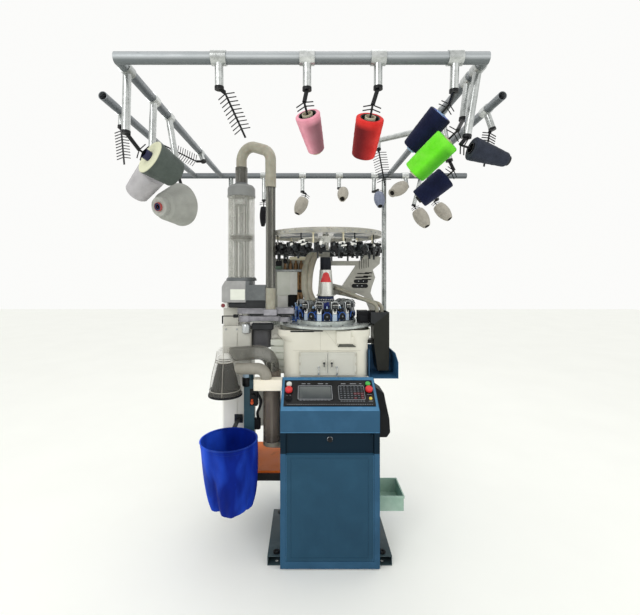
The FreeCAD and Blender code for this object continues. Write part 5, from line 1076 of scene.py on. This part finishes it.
def bracket_details():
    """Dark fillings, ovals and ribs of the cast wing, and the coils behind it."""
    dark, dots, coils = forms(3)
    dark.block((376, 282.2, 1494, 456, 288, 1558, 2))
    Form.turn = upright(232.5, -1)
    for x, z, half, tall in ((376, 1492, 47, 25), (369, 1462, 54, 27), (382, 1519, 43, 9),
                             (392, 1543, 40, 6)):
        dark.slab(rounded_rect(x, z, half * 2, tall, tall / 2 - 0.2), 3.5)
    Form.turn = HERE
    for x in (196, 216, 236):
        dark.disc(5.5, 2, (x, 232, 1441), 16)
    dark.block(*[(364 + n * 15, 229.5, 1572 + n * 3, 367 + n * 15, 232.4, 1636 + n * 2, 0.8)
                 for n in range(5)])
    dark.done("bracket_fillings", "black_soft")
    for x, z in ((360, 1493), (392, 1493), (352, 1463), (382, 1462)):
        dots.disc(3, 1.6, (x, 229, z), 12)
    dots.done("bracket_pins", "bright")
    for x in (-128, -92, -56, -20):
        coils.rod((x, 300, 1571), (x, 300, 1614), 15, 13, 18)
        coils.rod((x, 300, 1614), (x, 300, 1632), 7, 7, 14)
    coils.done("rear_coils", "copper")


def dial_parts():
    patch, studs, bands, cap, needles = forms(5)
    Form().ring([(40, 1372.4), (51, 1372.4), (53, 1376), (53, 1396), (49, 1400.5), (40, 1400.5)],
                HEAD, 48).done("dial_collar", "collar", "dial_head")
    for _ in stations(24):
        studs.block((-3.4, -55, 1376, 3.4, -52, 1382, 1))
    studs.done("dial_studs", "ceramic", "dial_head")
    for z, r in ((1404, 59.5), (1560, 40.2)):
        bands.band(r - 4, r + 0.6, z - 2, z + 2, HEAD, 56)
    bands.done("cover_bands", "cover", "dial_head")
    grid = []
    for t in [n / 14 for n in range(15)]:
        z = 1489 + 62 * t
        r = 52 - 13 * (z - 1401) / 166 + 0.9
        wide = 35 * (1 - 0.6 * t) if t < 0.73 else 19.7 * math.sqrt(1 - 0.87 * ((t - 0.73) / 0.27) ** 2)
        half = math.asin(min(wide / r, 0.8))
        grid.append([patch.bm.verts.new((140 + r * math.sin(a), 170 - r * math.cos(a), z))
                     for a in [-half + half * k / 8 for k in range(17)]])
    for low, high in zip(grid, grid[1:]):
        for k in range(16):
            patch.bm.faces.new((low[k], low[k + 1], high[k + 1], high[k]))
    patch.done("cover_patch", "red", "dial_head")
    cap.lathe([(30, 1566), (36.5, 1566), (36.5, 1571), (35.4, 1573), (35.4, 1638), (34, 1646), (30, 1648.4),
               (24, 1648.4)], HEAD, 48)
    for z in (1590, 1606, 1622):
        cap.band(34, 36.2, z, z + 3, HEAD, 48)
    cap.done("motor_shell", "motor", "dial_head")
    Form().lathe([(0.1, 1646), (26, 1646), (26, 1648.6), (24, 1649), (10, 1649), (0.1, 1649)], HEAD, 32).done(
        "motor_knob", "bright", "dial_head")
    for a in round_steps(84):
        foot = polar(HEAD, 47.6, a, 1344)
        tip = foot + Vector((0, 0, 15 + 3 * math.sin(5 * a)))
        needles.sweep([foot, tip, tip + polar(ORIGIN, 1.4, a, 1.2)], 0.55, 5)
    needles.done("needle_tips", "bright", "cylinder")
    Form().ring([(51, BED), (72, BED), (72, BED + 6), (60, BED + 16), (51.2, BED + 16)], HEAD, 64).done(
        "sinker_ring", "alloy")


def tension_units():
    """Yarn tension units packed round the ring: bodies, gate discs, feelers, eyes and springs."""
    rng = random.Random(11)
    side, out = (0, 1, 0), (1, 0, 0)
    body, grey, disc, wire, post, pale = forms(6)
    for n in stations(24, 7.5, TENSION):
        wide = rng.uniform(27, 34)
        high = rng.uniform(46, 64)
        body.block((284, -wide, 0, 334, wide, 15, 3), (292, -wide * 0.85, 15, 338, -2, high, 4),
                   (300, 4, 15, 344, wide * 0.9, high * rng.uniform(0.55, 0.8), 3),
                   (330, -9, -20, 346, 9, 6, 3), (316, -wide, high - 18, 352, -wide + 12, high - 4, 3))
        grey.block((338, -wide * 0.7, 18, 344, -8, high - 8, 2)).rod((344, 14, 24), (358, 14, 24), 9, 8, 18)
        for lift, y in ((10, -wide - 2), (34, wide)):
            disc.lathe([(0.1, -1.2), (10, -2.6), (11.4, -2.2), (8, 0), (11.4, 2.2), (10, 2.6), (0.1, 1.2)],
                       (318, y, lift), 18, side)
        body.ring([(3, -5), (13, -5), (14.6, -3), (11, 0), (14.6, 3), (13, 5), (3, 5)],
                  (350, -14, 10), 20, out)
        if n % 2:
            pale.block((340, -6, 26, 350, 12, 26 + rng.uniform(14, 26), 2.5))
            pale.rod((330, 16, high * 0.6), (330, 16, high), 4, 3, 12)
        wire.sweep([(330, 12, 44), (346, 18, 58), (356, 6, 64), (346, -10, 62), (326, -8, 50)],
                   1.2, 6, smooth=5)
        wire.sweep([(302, -10, 4), (284, -18, -10), (272, -6, -18), (276, 8, -14)], 1.2, 6, smooth=5)
        wire.band(2.2, 4.4, -1.2, 1.2, (274, 0, -17), 12)
    for x0, x1, z0, z1 in ((-26, 20, 1700, 1736), (196, 240, 1692, 1724), (268, 302, 1706, 1736)):
        x, z, wide, tall = (x0 + x1) / 2, (z0 + z1) / 2, (x1 - x0) / 2, (z1 - z0) / 2
        lean = Matrix.Rotation(math.radians(rng.uniform(-28, 28)), 4, "Y")
        Form.turn = Matrix.Translation((x, 170 - math.sqrt(352 ** 2 - (x - 140) ** 2), z)) @ lean
        pale.block((-wide, 0, 2, wide * 0.7, 6, tall, 3), (-wide * 0.6, 1, -tall * 0.8, wide, 7, -3, 3))
        grey.block((-wide + 6, 7, -tall, wide - 6, 26, tall * 0.5, 3))
        body.disc(6, 4, (0, 0, 4), 16)
    for angle in (255, 285, 15, 45, 135, 165):
        Form.turn = about_head(angle, TENSION)
        post.rod((326, 0, 40), (326, 0, 121.5), 5.4, 4.6, 16).rod((326, 0, 96), (326, 0, 112), 9, 8, 16)
    Form.turn = HERE
    body.done("tension_bodies", "black")
    grey.done("tension_plates", "iron")
    disc.done("tension_discs", "bright")
    wire.done("tension_wires", "steel")
    pale.done("tension_guides", "ceramic")
    post.done("disc_posts", "cream_soft")


def disc_and_bed():
    """The clear disc's rim, hub, ribs and eyelets, and the bed plate's rim and screws."""
    Form().ring([(349, 1772), (356, 1772), (357, 1775), (357, 1800), (355, 1803), (349, 1800)],
                HEAD, 120).done("disc_rim", "disc")
    Form().ring([(20.4, 1742), (26, 1742), (38, 1776), (38, 1783), (20.4, 1783)], HEAD, 48).done(
        "disc_hub", "ceramic")
    ribs, studs = forms(2)
    for _ in stations(6, 30):
        ribs.block((60, -4, 1785, 348, 4, 1796.5, 1.5))
    for _ in stations(48):
        ribs.band(2.2, 4.4, 0, 3, (355.5, 0, 1786), 10, (1, 0, 0))
    ribs.done("disc_ribs", "line")
    Form().ring([(286, 1222), (292, 1224), (292, 1236), (286, 1240), (270, 1241.4), (268, 1240)],
                HEAD, 120).done("bed_rim", "bed")
    for a in round_steps(24, 4):
        studs.screw(polar(HEAD, 262, a, 1240), 5, 4, UP).screw(polar(HEAD, 184, a, BED), 3.6, 3, UP)
    studs.done("bed_screws", "dark_steel")


# ---- linking unit

def linking_unit():
    band, clampw, grip, latch, under, fill, collar = forms(7)
    Form().ring([(70, 2014), (86, 2014), (86, 2022), (84.6, 2026), (84.6, 2062), (80, 2072), (72, 2083),
                 (70, 2083)], UNIT, 72).done("unit_cap_rim", "cap_grey")
    band.ring([(80, 1499), (92, 1499), (94, 1502), (90, 1514), (84.4, 1520), (80, 1520)], UNIT, 72)
    band.ring([(33, 2082), (44, 2082), (44, 2094), (40, 2099), (39.2, 2099)], UNIT, 48)
    band.done("unit_collars", "unit")
    clampw.block((-415, 22, 1964, -355, 52, 1996, 4))
    for x in (-405, -365):
        clampw.rod((x, 20, 1980), (x, 30, 1980), 6)
    clampw.done("guide_clamp", "bright")
    for a in round_steps(10, 10):
        low, top, tip = [polar(UNIT, 60, a, z) for z in (1751, 1775, 1783)]
        grip.rod(low, top, 6.5, 5, 14).rod(top, tip, 3, 3, 10)
    grip.done("slider_studs", "bright", "slider")
    Form().ring([(45, 1752), (66, 1752), (67.5, 1755), (67.5, 1771), (66, 1774), (45, 1774)], UNIT, 56).done(
        "slider_band", "black", "slider")
    Form(upright(-25.5)).slab(rounded_rect(-392, 1419, 87, 64, 4), 1.6).done("blank_plate", "white")
    Form().block((-486, -40, 1338, -452, -22, 1371, 4)).ring(
        [(12, 0), (17, 0), (17, 5), (14, 8), (12, 8)], (-473, -40, 1356), 32, FRONT).done(
        "unit_knob_mount", "ceramic")
    latch.rod((-486, -12, 1290), (-392, -12, 1290), 3, sides=12)
    latch.rod((-484, -12, 1291), (-484, -12, 1244), 4.4, sides=14)
    latch.rod((-406, -12, 1290), (-406, 64, 1290), 4, sides=12)
    latch.block((-420, -18, 1280, -392, -4, 1300, 3)).done("pillar_latch", "black_soft")
    Form().lathe([(0.1, 0), (13, 0), (13, 3), (10.5, 8), (6, 10.5), (0.1, 11)], (-473, -40, 1356),
                 28, FRONT).done("unit_knob", "key_red")
    under.lathe([(0.1, 1371.5), (78, 1371.5), (78, 1352), (70, 1344), (40, 1344), (40, 1336),
                 (0.1, 1336)], UNIT, 56)
    under.block((-448, -24, 1340, -312, 60, 1371.5, 6)).done("unit_underside", "unit_black")
    fill.block((-202, 62, 1139, -140, 112, 1216, 5)).rod((-172, 62, 1160), (-172, 54, 1160), 15, 13, 28)
    fill.done("pillar_side_block", "pillar")
    collar.lathe([(0.1, 1186), (22, 1186), (26, 1190), (26, 1236), (22, 1242), (0.1, 1242)], (-345, 2, 0), 40)
    for x in (-470, -404, -338):
        collar.screw((x, 20, 1206), 6, 4)
    collar.done("pillar_fittings", "bright")


def collector_details():
    """Pale rings over the gauze, the bell's seams and rings, and the filter on the air post."""
    rings, seams, black, blue, orange = forms(5)
    for z, r in ((1044.5, 44), (1056, 42), (1067, 38)):
        rings.ring([(r - 7, z), (r, z), (r + 1, z + 2), (r, z + 6), (r - 7, z + 6)], BELL, 48)
    rings.lathe([(0.1, 1073), (34, 1073), (31, 1082), (20, 1090), (0.1, 1092)], BELL, 48)
    rings.done("gauze_rings", "ceramic")
    wall = ((91, 869), (88, 892), (74, 978), (57, 1048), (47, 1104))
    for a in round_steps(4):
        seams.sweep([polar(BELL, r, a, z) for r, z in wall], 1.7, 8, smooth=6)
    for r, z in ((88.6, 892), (57, 1048)):
        seams.band(r - 2, r + 0.8, z - 2, z + 2, BELL, 64)
    seams.done("bell_seams", "clear_rib")
    black.lathe([(0.1, 890.5), (24, 890.5), (27, 895), (27, 938), (23, 942), (0.1, 942)], FILTER, 40)
    blue.lathe([(0.1, 942), (22, 942), (23, 948), (23, 974), (17, 982), (0.1, 983)], FILTER, 40)
    black.block((-313.5, -90, 778, -264, -56, 884, 5)).rod((-289, -90, 840), (-289, -104, 840), 14, 12, 24)
    orange.rod((-296, -90, 800), (-296, -104, 800), 10, 8, 20)
    orange.rod((-296, -90, 815), (-296, -100, 815), 7, 6, 16)
    black.sweep([(-272, -72, 862), (-262, -74, 838), (-247, -74, 806), (-254, -73, 770), (-268, -72, 736),
                 (-264, -70, 700)], 8, 12, smooth=6)
    black.block((-288, -84, 640, -250, -52, 704, 5)).rod((-268, -52, 672), (-268, -30, 672), 16, 15, 24)
    black.done("filter_body", "black")
    blue.done("filter_bowl", "pale_blue")
    orange.done("filter_fittings", "orange")


stage()
dress_nodes()
for make in (packages, sock_bag, console, cabinet, plain_pieces, shroud_trim, cam_stations, finger_stations,
             head_core, bracket_details, dial_parts, tension_units, disc_and_bed, linking_unit,
             collector_details):
    make()
